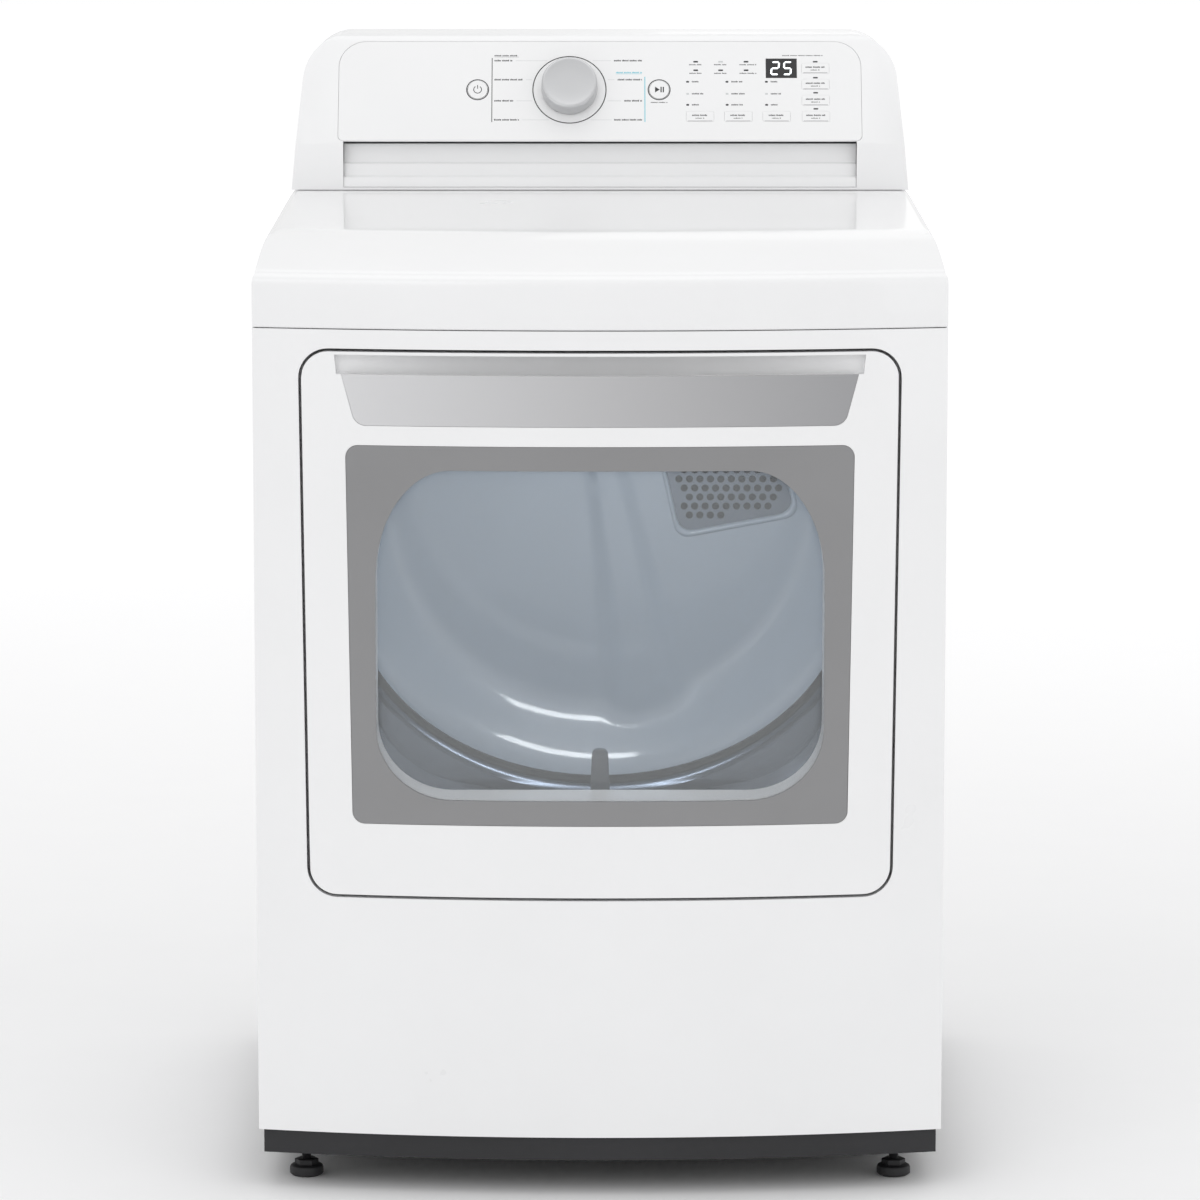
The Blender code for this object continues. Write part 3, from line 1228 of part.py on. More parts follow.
def plate_outline(centre, size, corner=0.0, grow=0.0):
    u, v = centre
    half, tall = size[0] / 2 + grow, size[1] / 2 + grow
    radius = corner + grow if corner else 0
    low = [(u - half, v - tall, radius), (u + half, v - tall, radius)]
    return fillet(low + [(u + half, v + tall, radius), (u - half, v + tall, radius)], 2)


def keys():
    """Name and centre of each option key on the fascia."""
    for name, u in LOWER_KEYS.items():
        yield "key_" + name, (u, LOWER_KEY_ROW)
    for name, v in RIGHT_KEYS.items():
        yield "key_" + name, (RIGHT_KEY_COLUMN, v)


def make_fascia(face):
    loops = [fascia_outline()]
    loops += [ring(u, BUTTON_ROW, ROUND_BUTTON_RADIUS + KEY_GAP, 20) for u in (POWER_X, START_X)]
    loops.append(ring(KNOB_X, BUTTON_ROW, 8 * MM, 16))
    loops.append(plate_outline(DISPLAY_CENTRE, DISPLAY_SIZE, 0, GAP))
    for name, centre in keys():
        loops.append(plate_outline(centre, KEY_SIZE, KEY_CORNER, KEY_GAP))
        outline = plate_outline((0, 0), KEY_SIZE, KEY_CORNER)
        key = fascia_prism(name, [outline], -KEY_DEPTH, KEY_PROUD, PLASTIC, face)
        key.location.x, key.location.y = centre
    fascia_prism("control_fascia", loops, -FASCIA_SHEET, 0, PLASTIC, face)
    for name, u in (("power_button", POWER_X), ("start_pause_button", START_X)):
        outline = ring(0, 0, ROUND_BUTTON_RADIUS, 20)
        button = fascia_prism(name, [outline], -KEY_DEPTH, 2 * KEY_PROUD, PLASTIC, face)
        button.location.x, button.location.y = u, BUTTON_ROW
    fascia_prism("display_lens", [plate_outline(DISPLAY_CENTRE, DISPLAY_SIZE)], -FASCIA_SHEET, 0, BLACK, face)
    back = -BOARD_DEPTH
    outline = plate_outline((0, 0), BOARD_SIZE)
    board = fascia_prism("control_board", [outline], back, back + BOARD_SHEET, BOARD, face)
    spindle = [ring(KNOB_X, BUTTON_ROW, 7 * MM, 16)]
    encoder = fascia_prism("encoder", spindle, back + BOARD_SHEET / 2, -FASCIA_SHEET - 4 * MM, None, face)
    join(board, encoder)
    make_knob(face)


def make_knob(face):
    stem, end = 5 * MM, -FASCIA_SHEET - 3 * MM
    profile = [(0, KNOB_HEIGHT), (KNOB_RADIUS - 3 * MM, KNOB_HEIGHT)]
    profile += [(KNOB_RADIUS - 1 * MM, KNOB_HEIGHT - 2 * MM), (KNOB_RADIUS, 1 * MM)]
    profile += [(stem, 1 * MM), (stem, end), (0, end)]
    knob = turned("control_knob", list(reversed(profile)), (0, 0, 0), SILVER, face, 40)
    knob.rotation_euler.x = 0
    knob.location = (KNOB_X, BUTTON_ROW, 0)


def make_lower_trim(low):
    """A sheet that leans back in three steps, below the fascia."""
    half = HALF - TRIM_PANEL_SIDE
    front = FASCIA_LOWER_DEPTH + TRIM_PANEL_RECESS / 2
    high = FASCIA_LOW - TRIM_PANEL_GAP
    fifth = (high - low) / 5
    step = TRIM_STEP
    face = [(front - 2 * step, low + GAP), (front, low + fifth), (front + step, low + fifth)]
    middle = low + 2.6 * fifth
    face += [(front + 2 * step, middle), (front + 3 * step, middle), (front + 4 * step, high)]
    back = [(u + CONSOLE_WALL, v) for u, v in reversed(face)]
    prism("console_lower_trim", "SIDE", [list(reversed(face + back))], -half, half, PLASTIC)


def make_terminal_cover():
    low = (TERMINAL_SPOT[0], REAR_PANEL_Y + SHEET + GAP, TERMINAL_SPOT[1])
    high = (low[0] + TERMINAL_SIZE[0], CABINET_DEPTH + REAR_STUB, low[2] + TERMINAL_SIZE[1])
    cover = box("terminal_block_cover", low, high, STEEL)
    inner_low = (low[0] + SHEET, low[1] - SHEET, low[2] + SHEET)
    cut(cover, box("terminal_inside", inner_low, tuple(edge - SHEET for edge in high)))


def main():
    make_base()
    make_side("side_panel_left", -1)
    make_side("side_panel_right", 1)
    make_rear_panel()
    make_front_panel()
    make_top_panel()
    make_door()
    make_latch()
    make_front_bulkhead()
    make_rear_bulkhead()
    make_grille_and_heater()
    make_drum()
    make_rollers()
    make_drive()
    make_blower()
    make_lint_filter()
    make_console()
    make_terminal_cover()


main()
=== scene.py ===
"""The dryer's looks: fine surfaces, materials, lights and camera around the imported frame.

Lengths are in metres. Most pieces are drawn in cabinet coordinates, whose y starts at the side panels' front
edges, and SHIFT moves them into the row frame.
"""

from math import acos, atan2, cos, hypot, pi, radians, sin, sqrt, tan

import bmesh
import bpy
from mathutils import Matrix, Vector


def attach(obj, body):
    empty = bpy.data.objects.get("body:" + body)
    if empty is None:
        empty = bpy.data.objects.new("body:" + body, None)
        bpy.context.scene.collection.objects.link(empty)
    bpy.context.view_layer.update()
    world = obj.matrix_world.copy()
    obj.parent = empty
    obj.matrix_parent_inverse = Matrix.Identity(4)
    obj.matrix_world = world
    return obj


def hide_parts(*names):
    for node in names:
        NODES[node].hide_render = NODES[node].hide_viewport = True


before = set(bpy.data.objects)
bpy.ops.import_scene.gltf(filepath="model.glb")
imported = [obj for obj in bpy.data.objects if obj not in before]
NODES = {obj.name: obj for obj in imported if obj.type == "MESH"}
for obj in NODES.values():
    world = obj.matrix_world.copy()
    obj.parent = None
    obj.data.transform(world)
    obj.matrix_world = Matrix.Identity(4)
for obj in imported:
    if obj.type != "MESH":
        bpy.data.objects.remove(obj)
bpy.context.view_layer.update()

MM = 0.001
SHIFT = -336.5 * MM
RELIEF = 0.4 * MM  # height of the finest grain of a surface
COAT_ROUGHNESS = 0.06


def mm(*values):
    """Lengths in millimetres, in metres."""
    return tuple(value * MM for value in values)


# ---------------------------------------------------------------- materials


def new(tree, kind, **inputs):
    """A shader node with some of its inputs set, each named with _ for a space."""
    node = tree.nodes.new("ShaderNode" + kind)
    for name, value in inputs.items():
        node.inputs[name.replace("_", " ")].default_value = value
    return node


def link(tree, source, output, target, name):
    tree.links.new(source.outputs[output], target.inputs[name])


def grain(tree, scale, detail, stretch):
    """Noise over the object's own coordinates."""
    place = new(tree, "TexCoord")
    mapping = new(tree, "Mapping", Scale=stretch)
    noise = new(tree, "TexNoise", Scale=scale, Detail=detail)
    link(tree, place, "Object", mapping, "Vector")
    link(tree, mapping, "Vector", noise, "Vector")
    return noise


def finish(
    name, colour, roughness, vary=0.03, rough_vary=0.06, scale=9, grit=500, bump=0.02, stretch=(1, 1, 1), **more
):
    """A surface whose tone and gloss wander a little, with a fine grit in its normal."""
    material = bpy.data.materials.new(name)
    material.use_nodes = True
    tree = material.node_tree
    shader = tree.nodes["Principled BSDF"]
    wide = grain(tree, scale, 4, stretch)
    ramp = new(tree, "ValToRGB")
    low, high = ramp.color_ramp.elements
    low.position, high.position = 0.25, 0.75
    low.color = (*[max(0, c * (1 - vary)) for c in colour], 1)
    high.color = (*[min(1, c * (1 + vary)) for c in colour], 1)
    link(tree, wide, "Fac", ramp, "Fac")
    link(tree, ramp, "Color", shader, "Base Color")
    gloss = new(tree, "MapRange", To_Min=max(0, roughness - rough_vary), To_Max=min(1, roughness + rough_vary))
    link(tree, wide, "Fac", gloss, "Value")
    link(tree, gloss, "Result", shader, "Roughness")
    if bump:
        relief = new(tree, "Bump", Strength=bump, Distance=RELIEF)
        link(tree, grain(tree, grit, 2, stretch), "Fac", relief, "Height")
        link(tree, relief, "Normal", shader, "Normal")
    for key, value in more.items():
        shader.inputs[key.replace("_", " ")].default_value = value
    return material


def coated(name, colour, roughness, coat, **more):
    return finish(name, colour, roughness, Coat_Weight=coat, Coat_Roughness=COAT_ROUGHNESS, **more)


ENAMEL_WHITE = coated("white_enamel", (0.87, 0.872, 0.878), 0.3, 0.5, vary=0.01, grit=260, bump=0.02)
WHITE = coated("white_plastic", (0.87, 0.872, 0.878), 0.34, 0.3, vary=0.01, grit=700, bump=0.015)
FASCIA_WHITE = coated("fascia_film", (0.86, 0.862, 0.867), 0.36, 0.15, vary=0.008, grit=900, bump=0.01)
HOUSING = finish("housing_plastic", (0.62, 0.63, 0.65), 0.5, grit=600, bump=0.08)
BLACK = finish("black_plastic", (0.016, 0.016, 0.018), 0.55, vary=0.2, grit=900, bump=0.25)
GREY = coated("grey_frame", (0.245, 0.245, 0.25), 0.3, 0.4, vary=0.03, grit=700, bump=0.02)
SILVER = finish(
    "silver_trim", (0.66, 0.665, 0.675), 0.3, vary=0.05, rough_vary=0.05, scale=3, grit=12, bump=0.1,
    stretch=(1, 60, 60), Metallic=0.85,
)
STEEL = finish(
    "galvanised_steel", (0.5, 0.52, 0.55), 0.38, vary=0.16, rough_vary=0.1, scale=22, grit=90, bump=0.03,
    Metallic=0.9,
)
BRIGHT = finish("bright_steel", (0.62, 0.63, 0.65), 0.28, vary=0.05, grit=400, bump=0.05, Metallic=0.95)
CASTING = finish("motor_casting", (0.22, 0.23, 0.25), 0.55, vary=0.15, grit=300, bump=0.3, Metallic=0.6)
DRUM = coated("drum_enamel", (0.42, 0.475, 0.54), 0.36, 0.4, vary=0.02, grit=300, bump=0.012)
COLLAR = finish(
    "mouth_steel", (0.085, 0.1, 0.125), 0.24, vary=0.06, rough_vary=0.05, scale=14, grit=160, bump=0.01,
    Metallic=0.95,
)
GRILLE_STEEL = finish(
    "grille_steel", (0.17, 0.195, 0.235), 0.4, vary=0.06, scale=20, grit=200, bump=0.02, Metallic=0.6
)
# Near-black duct behind the inlet grille: painted shade, seen through the grille's holes.
DUCT_PAINTED_SHADE = finish(
    "heater_duct_painted_shade", (0.006, 0.009, 0.02), 0.7, vary=0.2, scale=16, grit=200, bump=0.03, Metallic=0.2
)
SATIN = finish("satin_silver", (0.56, 0.565, 0.575), 0.32, vary=0.02, grit=700, bump=0.02, Metallic=0.75)
RUBBER = finish("rubber", (0.012, 0.012, 0.013), 0.75, vary=0.2, grit=500, bump=0.2)
SMOKE = coated("filter_plastic", (0.045, 0.05, 0.062), 0.25, 0.3, vary=0.05, grit=400, bump=0.03, Alpha=0.9)
GLASS = finish(
    "window_glass", (0.82, 0.86, 0.88), 0.04, vary=0.01, rough_vary=0.015, scale=3, bump=0, Alpha=0.1
)
BOARD = finish("circuit_board", (0.03, 0.16, 0.07), 0.45, vary=0.25, scale=120, grit=300, bump=0.2)
INK = finish("grey_ink", (0.2, 0.2, 0.21), 0.5, vary=0.05, bump=0)
DARK_INK = finish("dark_ink", (0.025, 0.025, 0.028), 0.45, vary=0.1, bump=0)
CYAN_INK = finish("cyan_ink", (0.13, 0.55, 0.66), 0.45, vary=0.05, bump=0)
LIGHT_INK = finish("pale_ink", (0.55, 0.56, 0.57), 0.5, vary=0.04, bump=0)
LED_OFF = coated("led_off", (0.6, 0.62, 0.62), 0.25, 0.4, vary=0.03, bump=0)
DIGITS = finish(
    "display_digits", (0.9, 0.95, 1), 0.3, vary=0.02, bump=0, Emission_Color=(0.9, 0.96, 1, 1),
    Emission_Strength=1.6,
)
LENS = coated("display_lens", (0.008, 0.008, 0.01), 0.15, 0.6, vary=0.2, bump=0)


# The painted shade on the handle's trim changes over this reach.
TRIM_REACH = 260 * MM  # from the middle of the handle's trim to where its tone stops changing


def silver_film_with_painted_shade():
    """Silver film with painted shade: lighter at the left and darker at the right, as the light from the left falls
    on it, with fine level brushing.
    """
    material = finish(
        "silver_film_painted_shade", (0.5, 0.5, 0.51), 0.36, vary=0.02, rough_vary=0.04, scale=3, grit=10, bump=0.06,
        stretch=(1, 60, 90), Metallic=0.45,
    )
    tree = material.node_tree
    place = new(tree, "TexCoord")
    split = new(tree, "SeparateXYZ")
    along = new(tree, "MapRange", From_Min=-TRIM_REACH, From_Max=TRIM_REACH)
    ramp = new(tree, "ValToRGB")
    # Painted shade: the base colour runs from light at the left end of the trim to dark at its right end.
    ramp.color_ramp.elements[0].color = (0.68, 0.68, 0.69, 1)
    ramp.color_ramp.elements[1].color = (0.34, 0.34, 0.35, 1)
    link(tree, place, "Object", split, "Vector")
    link(tree, split, "X", along, "Value")
    link(tree, along, "Result", ramp, "Fac")
    link(tree, ramp, "Color", tree.nodes["Principled BSDF"], "Base Color")
    return material


SILVER_FILM_PAINTED_SHADE = silver_film_with_painted_shade()


FLOOR_GLOW_FROM_TO = (1, 5)  # metres from the object
FLOOR_GLOW = 0.24


def pale_floor():
    """A matt floor that is seen brightening to white away from the object, as a studio sweep does."""
    material = finish("studio_floor", (0.93, 0.93, 0.935), 0.9, vary=0.004, bump=0, Emission_Color=(1, 1, 1, 1))
    tree = material.node_tree
    place = new(tree, "TexCoord")
    away = new(tree, "VectorMath")
    away.operation = "LENGTH"
    near, far = FLOOR_GLOW_FROM_TO
    glow = new(tree, "MapRange", From_Min=near, From_Max=far, To_Max=FLOOR_GLOW)
    seen = new(tree, "LightPath")
    only = new(tree, "Math")
    only.operation = "MULTIPLY"
    link(tree, place, "Object", away, 0)
    link(tree, away, "Value", glow, "Value")
    link(tree, glow, "Result", only, 0)
    link(tree, seen, "Is Camera Ray", only, 1)
    link(tree, only, "Value", tree.nodes["Principled BSDF"], "Emission Strength")
    return material


FLOOR = pale_floor()

# These are named as the record's slots are.
SLOT_FINISHES = (
    ENAMEL_WHITE, WHITE, HOUSING, BLACK, GREY, SILVER, STEEL, BRIGHT, CASTING, DRUM, RUBBER, GLASS, BOARD, SMOKE,
)
BY_SLOT = {material.name.split(".")[0]: material for material in SLOT_FINISHES}

# ---------------------------------------------------------------- shapes


WELD = 0.005 * MM


def mesh_of(bm, name):
    bmesh.ops.remove_doubles(bm, verts=bm.verts, dist=WELD)
    bmesh.ops.recalc_face_normals(bm, faces=bm.faces)
    mesh = bpy.data.meshes.new(name)
    bm.to_mesh(mesh)
    bm.free()
    return mesh


def round_edges(obj, width, segments=3):
    """Smooth shading with each edge sharper than 32 degrees rounded."""
    obj.data.polygons.foreach_set("use_smooth", [True] * len(obj.data.polygons))
    bevel = obj.modifiers.new("rounded", "BEVEL")
    bevel.width = width
    bevel.segments = segments
    bevel.limit_method = "ANGLE"
    bevel.angle_limit = radians(32)
    bevel.harden_normals = True
    bevel.use_clamp_overlap = True
    bevel.miter_outer = "MITER_ARC"


def place(name, mesh, material, body, node=None, bevel=0.0, segments=3, at=None, slot=None, soft=None):
    """A finished mesh in cabinet coordinates, or in those of the matrix at, as a piece that rides on a body.

    It may stand for a CAD node, and then that node is hidden. Its edges are rounded by a bevel, or it is
    shaded smooth across edges of less than soft degrees.
    """
    mesh.transform(at if at is not None else Matrix.Translation((0, SHIFT, 0)))
    obj = linked(name, mesh)
    mesh.materials.clear()
    mesh.materials.append(material)
    if bevel:
        round_edges(obj, bevel, segments)
    if soft:
        smooth(obj, soft)
    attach(obj, body)
    if node:
        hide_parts(node)
    return obj


def linked(name, data):
    obj = bpy.data.objects.new(name, data)
    bpy.context.scene.collection.objects.link(obj)
    return obj


def evaluated(obj, *helpers):
    """The object's mesh with its modifiers applied. The object and its helpers are removed."""
    bpy.context.view_layer.update()
    graph = bpy.context.evaluated_depsgraph_get()
    mesh = bpy.data.meshes.new_from_object(obj.evaluated_get(graph), depsgraph=graph)
    for used in (obj, *helpers):
        bpy.data.objects.remove(used)
    return mesh


def cleaned(name, mesh):
    """The mesh with its doubled points welded and its faces turned outwards."""
    bm = bmesh.new()
    bm.from_mesh(mesh)
    return mesh_of(bm, name)


def sheet(obj, thickness, offset):
    shell = obj.modifiers.new("sheet", "SOLIDIFY")
    shell.thickness, shell.offset = thickness, offset


def thickened(name, mesh, offset):
    """A surface given the thickness of the sheet, inwards (-1) or to both sides (0)."""
    obj = linked(name, mesh)
    sheet(obj, SHEET, offset)
    return cleaned(name, evaluated(obj))


def loft(name, loops, first=True, last=True, closed=True):
    """Faces between one loop of points and the next, with the first and last loops filled."""
    bm = bmesh.new()
    rings = [[bm.verts.new(point) for point in loop] for loop in loops]
    for lower, upper in zip(rings, rings[1:]):
        for i in range(len(lower) if closed else len(lower) - 1):
            j = (i + 1) % len(lower)
            bm.faces.new((lower[i], lower[j], upper[j], upper[i]))
    if first:
        bm.faces.new(rings[0])
    if last:
        bm.faces.new(rings[-1])
    return mesh_of(bm, name)


def lathe(name, profile, steps=96, closed=False):
    """A surface turned about +Y through (radius, depth) points, or a closed ring if the profile closes."""
    turns = [2 * pi * k / steps for k in range(steps)]
    loops = [[(radius * cos(a), depth, radius * sin(a)) for a in turns] for radius, depth in profile]
    if closed:
        loops.append(loops[0])
    return loft(name, loops, False, False)


def ring(u, v, radius, count=48):
    return [(u + radius * cos(2 * pi * k / count), v + radius * sin(2 * pi * k / count)) for k in range(count)]


def fillet(corners, steps=10):
    """Outline through (u, v, radius) corners, each rounded by an arc that touches both its sides."""
    points = []
    for i, (u, v, radius) in enumerate(corners):
        corner = Vector((u, v))
        if not radius:
            points.append((u, v))
            continue
        before = (Vector(corners[i - 1][:2]) - corner).normalized()
        after = (Vector(corners[(i + 1) % len(corners)][:2]) - corner).normalized()
        half = acos(before.dot(after)) / 2
        centre = corner + (before + after).normalized() * radius / sin(half)
        start = corner + before * radius / tan(half) - centre
        end = corner + after * radius / tan(half) - centre
        first = atan2(start.y, start.x)
        sweep = (atan2(end.y, end.x) - first + pi) % (2 * pi) - pi
        for k in range(steps + 1):
            angle = first + sweep * k / steps
            points.append((centre.x + radius * cos(angle), centre.y + radius * sin(angle)))
    return points


def plate(u, v, wide, tall, radius=0.0, steps=4):
    """Outline of a rectangle about (u, v), with rounded corners."""
    half, high = wide / 2, tall / 2
    corners = [(u - half, v - high, radius), (u + half, v - high, radius), (u + half, v + high, radius)]
    return fillet(corners + [(u - half, v + high, radius)], steps)


TURNS = {"PLAN": Matrix.Identity(4), "FRONT": Matrix.Rotation(pi / 2, 4, "X")}
TURNS["SIDE"] = Matrix.Rotation(pi / 2, 4, "Z") @ Matrix.Rotation(pi / 2, 4, "X")


def drawn(name, plane, shapes, low, high):
    """Flat shapes, each an outline and its holes, drawn out from low to high along the plane's normal."""
    curve = bpy.data.curves.new(name, "CURVE")
    curve.dimensions = "2D"
    curve.fill_mode = "BOTH"
    curve.extrude = (high - low) / 2
    for loop in shapes:
        spline = curve.splines.new("POLY")
        spline.points.add(len(loop) - 1)
        for point, (u, v) in zip(spline.points, loop):
            point.co = (u, v, 0, 1)
        spline.use_cyclic_u = True
    mesh = cleaned(name, evaluated(linked(name, curve)))
    bpy.data.curves.remove(curve)
    middle = (low + high) / 2
    if plane == "FRONT":
        middle = -middle
    mesh.transform(TURNS[plane] @ Matrix.Translation((0, 0, middle)))
    return mesh


def boolean(name, mesh, others, operation="DIFFERENCE"):
    """The mesh with the others cut from it, joined to it or kept in common with it."""
    base = linked(name, mesh)
    helpers = [linked(name + "_tool", other) for other in others]
    for helper in helpers:
        step = base.modifiers.new("boolean", "BOOLEAN")
        step.operation = operation
        step.solver = "EXACT"
        step.object = helper
    made = evaluated(base, *helpers)
    made.name = name
    return made


def merged(name, meshes):
    """Several meshes as one, left apart inside it."""
    bm = bmesh.new()
    for mesh in meshes:
        bm.from_mesh(mesh)
    made = bpy.data.meshes.new(name)
    bm.to_mesh(made)
    bm.free()
    return made


def block(name, low, high):
    """A box between two corners, mostly to cut with."""
    bm = bmesh.new()
    bmesh.ops.create_cube(bm, size=1)
    size = Vector(high) - Vector(low)
    bmesh.ops.scale(bm, vec=size, verts=bm.verts)
    bmesh.ops.translate(bm, vec=Vector(low) + size / 2, verts=bm.verts)
    return mesh_of(bm, name)


# ---------------------------------------------------------------- CAD nodes that keep their shape

# Radius of the edges of each slot's nodes, in mm.
SOFT_EDGES = {
    "white_enamel": 1.2, "white_plastic": 1.0, "silver_trim": 0.6, "grey_frame": 0.8, "rubber": 0.8,
    "housing_plastic": 1.2,
}
THIN_EDGE = 0.5
SLOT_OF = {}
for entry_name, node in NODES.items():
    named = [m.name.split(".")[0] for m in node.data.materials if m]
    SLOT_OF[entry_name] = named[0] if named and named[0] in BY_SLOT else "white_plastic"


def dress(name):
    node, slot = NODES[name], SLOT_OF[name]
    node.data.materials.clear()
    node.data.materials.append(BY_SLOT[slot])
    round_edges(node, SOFT_EDGES.get(slot, THIN_EDGE) * MM, 2)


for entry_name in sorted(NODES):
    dress(entry_name)

# ---------------------------------------------------------------- outlines of the cabinet and its door

HALF = 343 * MM
BOW = 38 * MM
BOW_RADIUS = (HALF**2 + BOW**2) / (2 * BOW)
BASE_TOP, SEAM, FLAT, TOP = mm(59, 868, 967, 1131)
DOOR_LOW, DOOR_HIGH, DOOR_CORNER = mm(303, 846, 27)
RECESS_FLOOR, PANEL_FOLD = mm(20, 24)
AHEAD, BEHIND = mm(-80, 720)  # past the front and past the rear, for cutting through
DOOR_HALVES = mm(288.7, 294.6)
TRIM_TOP = 823.7 * MM
DRUM_Z = 597 * MM
DEPTH = 700 * MM
GAP = 0.3 * MM
SHEET = 1.2 * MM


def bow(x):
    return BOW_RADIUS - BOW - sqrt(BOW_RADIUS**2 - x**2)


def front_arc(half, inset, count=72):
    xs = [half * (2 * k / count - 1) for k in range(count + 1)]
    return [(x, bow(x) + inset) for x in xs]


def taper(half_low, half_high, low, high, radius, steps=10):
    corners = [(-half_low, low, radius), (half_low, low, radius)]
    return fillet(corners + [(half_high, high, radius), (-half_high, high, radius)], steps)


def window(half, low, high, bottom, top, steps=18):
    """A symmetric outline with (width, height) elliptical corners at its bottom and its top."""
    points = []
    for side, level, (width, height), start in (
        (1, low, bottom, -pi / 2), (1, high, top, 0), (-1, high, top, pi / 2), (-1, low, bottom, pi),
    ):
        up = 1 if level == low else -1
        for k in range(steps + 1):
            angle = start + pi / 2 * k / steps
            points.append((side * (half - width) + width * cos(angle), level + up * height + height * sin(angle)))
    return points


def door_outline(grow=0.0):
    low, high = DOOR_HALVES
    return taper(low + grow, high + grow, DOOR_LOW - grow, DOOR_HIGH + grow, DOOR_CORNER + grow)


def frame_outline(grow=0.0):
    return taper(245.6 * MM + grow, 250.8 * MM + grow, 375.5 * MM - grow, 753.6 * MM + grow, 12 * MM + grow)


def window_outline(grow=0.0):
    low, high = (75 * MM + grow, 71 * MM + grow), (75 * MM + grow, 110 * MM + grow)
    return window(221.9 * MM + grow, 400.3 * MM - grow, 729.6 * MM + grow, low, high)


def mouth_outline(grow=0.0):
    corner = (80 * MM + grow, 80 * MM + grow)
    return window(248.9 * MM + grow, 377.3 * MM - grow, 797.6 * MM + grow, corner, corner)


def trim_outline(grow=0.0):
    half, radius = 254.5 * MM + grow, 14 * MM
    low_half, low, high = half - 13.7 * MM, TRIM_TOP - 50.3 * MM - grow, TRIM_TOP + grow
    return fillet([(-low_half, low, radius), (low_half, low, radius), (half, high, 0), (-half, high, 0)])


def oval(half, tall, count=144):
    angles = [2 * pi * (i + 0.5) / count for i in range(count)]
    return [(half * cos(a), DRUM_Z + tall * sin(a)) for a in angles]


def resample(outline, count, centre):
    """Where rays at even angles from the centre cross an outline."""
    points = []
    for k in range(count):
        angle = 2 * pi * (k + 0.5) / count
        ray = Vector((cos(angle), sin(angle)))
        for (u0, v0), (u1, v1) in zip(outline, outline[1:] + outline[:1]):
            edge, start = Vector((u1 - u0, v1 - v0)), Vector((u0, v0 - centre))
            across = ray.cross(edge)
            if abs(across) < 1e-12:
                continue
            along, reach = start.cross(ray) / across, start.cross(edge) / across
            if -1e-6 <= along <= 1 + 1e-6 and reach > 0:
                points.append((ray.x * reach, centre + ray.y * reach))
                break
    return points


def span(outline, x):
    found = []
    for (u0, v0), (u1, v1) in zip(outline, outline[1:] + outline[:1]):
        if (u0 - x) * (u1 - x) <= 0 and u0 != u1:
            found.append(v0 + (v1 - v0) * (x - u0) / (u1 - u0))
    return min(found), max(found)


def bowed(name, outline, front, back, flat_back=True, count=48):
    """A plate whose front lies front behind the bowed surface, and its back at a depth or behind the bow."""
    edge = max(u for u, v in outline) - 0.05 * MM
    wanted = [u for u, v in outline if abs(u) < edge] + [edge * (2 * k / count - 1) for k in range(count + 1)]
    stations = []
    for x in sorted(wanted):
        if not stations or x - stations[-1] > 0.35 * MM:
            stations.append(x)
    loops = []
    for x in stations:
        low, high = span(outline, x)
        near, far = bow(x) + front, back if flat_back else bow(x) + back
        loops.append([(x, near, low), (x, near, high), (x, far, high), (x, far, low)])
    return loft(name, loops)


# ---------------------------------------------------------------- cabinet


def make_front_panel():
    wall, margin, deep = mm(2, 3, 40)
    outline = front_arc(HALF, 0) + [(HALF, PANEL_FOLD), (-HALF, PANEL_FOLD)]
    inner_half, inner_fold = HALF - SHEET, PANEL_FOLD + 2 * MM
    inner = front_arc(inner_half, SHEET) + [(inner_half, inner_fold), (-inner_half, inner_fold)]
    low, high = BASE_TOP + GAP, SEAM - GAP
    hollow = drawn("hollow", "PLAN", [inner], low + SHEET, high - SHEET)
    well = drawn("well", "FRONT", [door_outline(margin + wall)], AHEAD, RECESS_FLOOR + wall)
    cutters = [
        boolean("hollow", hollow, [well]),
        drawn("recess", "FRONT", [door_outline(margin)], AHEAD, RECESS_FLOOR),
        drawn("mouth", "FRONT", [mouth_outline()], 0, deep),
        block("strike_slot", mm(-14, 0, 815), (14 * MM, deep, 837 * MM)),
    ]
    low_z, high_z = hinge_slot()
    for x in (-HINGE_X, HINGE_X):
        half = 5.5 * MM
        cutters.append(block("hinge_slot", (x - half, 0, low_z), (x + half, deep, high_z)))
    mesh = boolean("cabinet_front", drawn("panel", "PLAN", [outline], low, high), cutters)
    place("cabinet_front", mesh, ENAMEL_WHITE, "cabinet", "front_panel", 1.6 * MM)


HINGE_X = 230.6 * MM


def hinge_slot():
    """Lowest and highest points of the slot that a hinge's arc passes through, about the door's axis."""
    inner, outer, axis_y, axis_z, clearance = mm(73, 77, -39.5, 301, 2.5)
    near, far = 16 * MM - axis_y, 22 * MM - axis_y
    return axis_z + sqrt(inner**2 - far**2) - clearance, axis_z + sqrt(outer**2 - near**2) + clearance


def curve_through(rows, count):
    """Rows of numbers along a Catmull-Rom curve through the given rows."""
    ends = [rows[0], *rows, rows[-1]]
    found = []
    for i in range(1, len(ends) - 2):
        for k in range(count):
            t = k / count
            a, b, c, d = ends[i - 1 : i + 3]
            found.append([
                (2 * q + (r - p) * t + (2 * p - 5 * q + 4 * r - s) * t**2 + (3 * q - p - 3 * r + s) * t**3) / 2
                for p, q, r, s in zip(a, b, c, d)
            ])
    return found + [list(rows[-1])]


SIDE_ROWS = 24
TOP_RISE, RISE_START, RISE_LENGTH = mm(11, 87, 433)


def top_height(height, rise, y):
    """The height at depth y, where rise is the share of the whole rise that this level takes."""
    return height + TOP_RISE * rise * min(1.0, max(0.0, (y - RISE_START) / RISE_LENGTH))


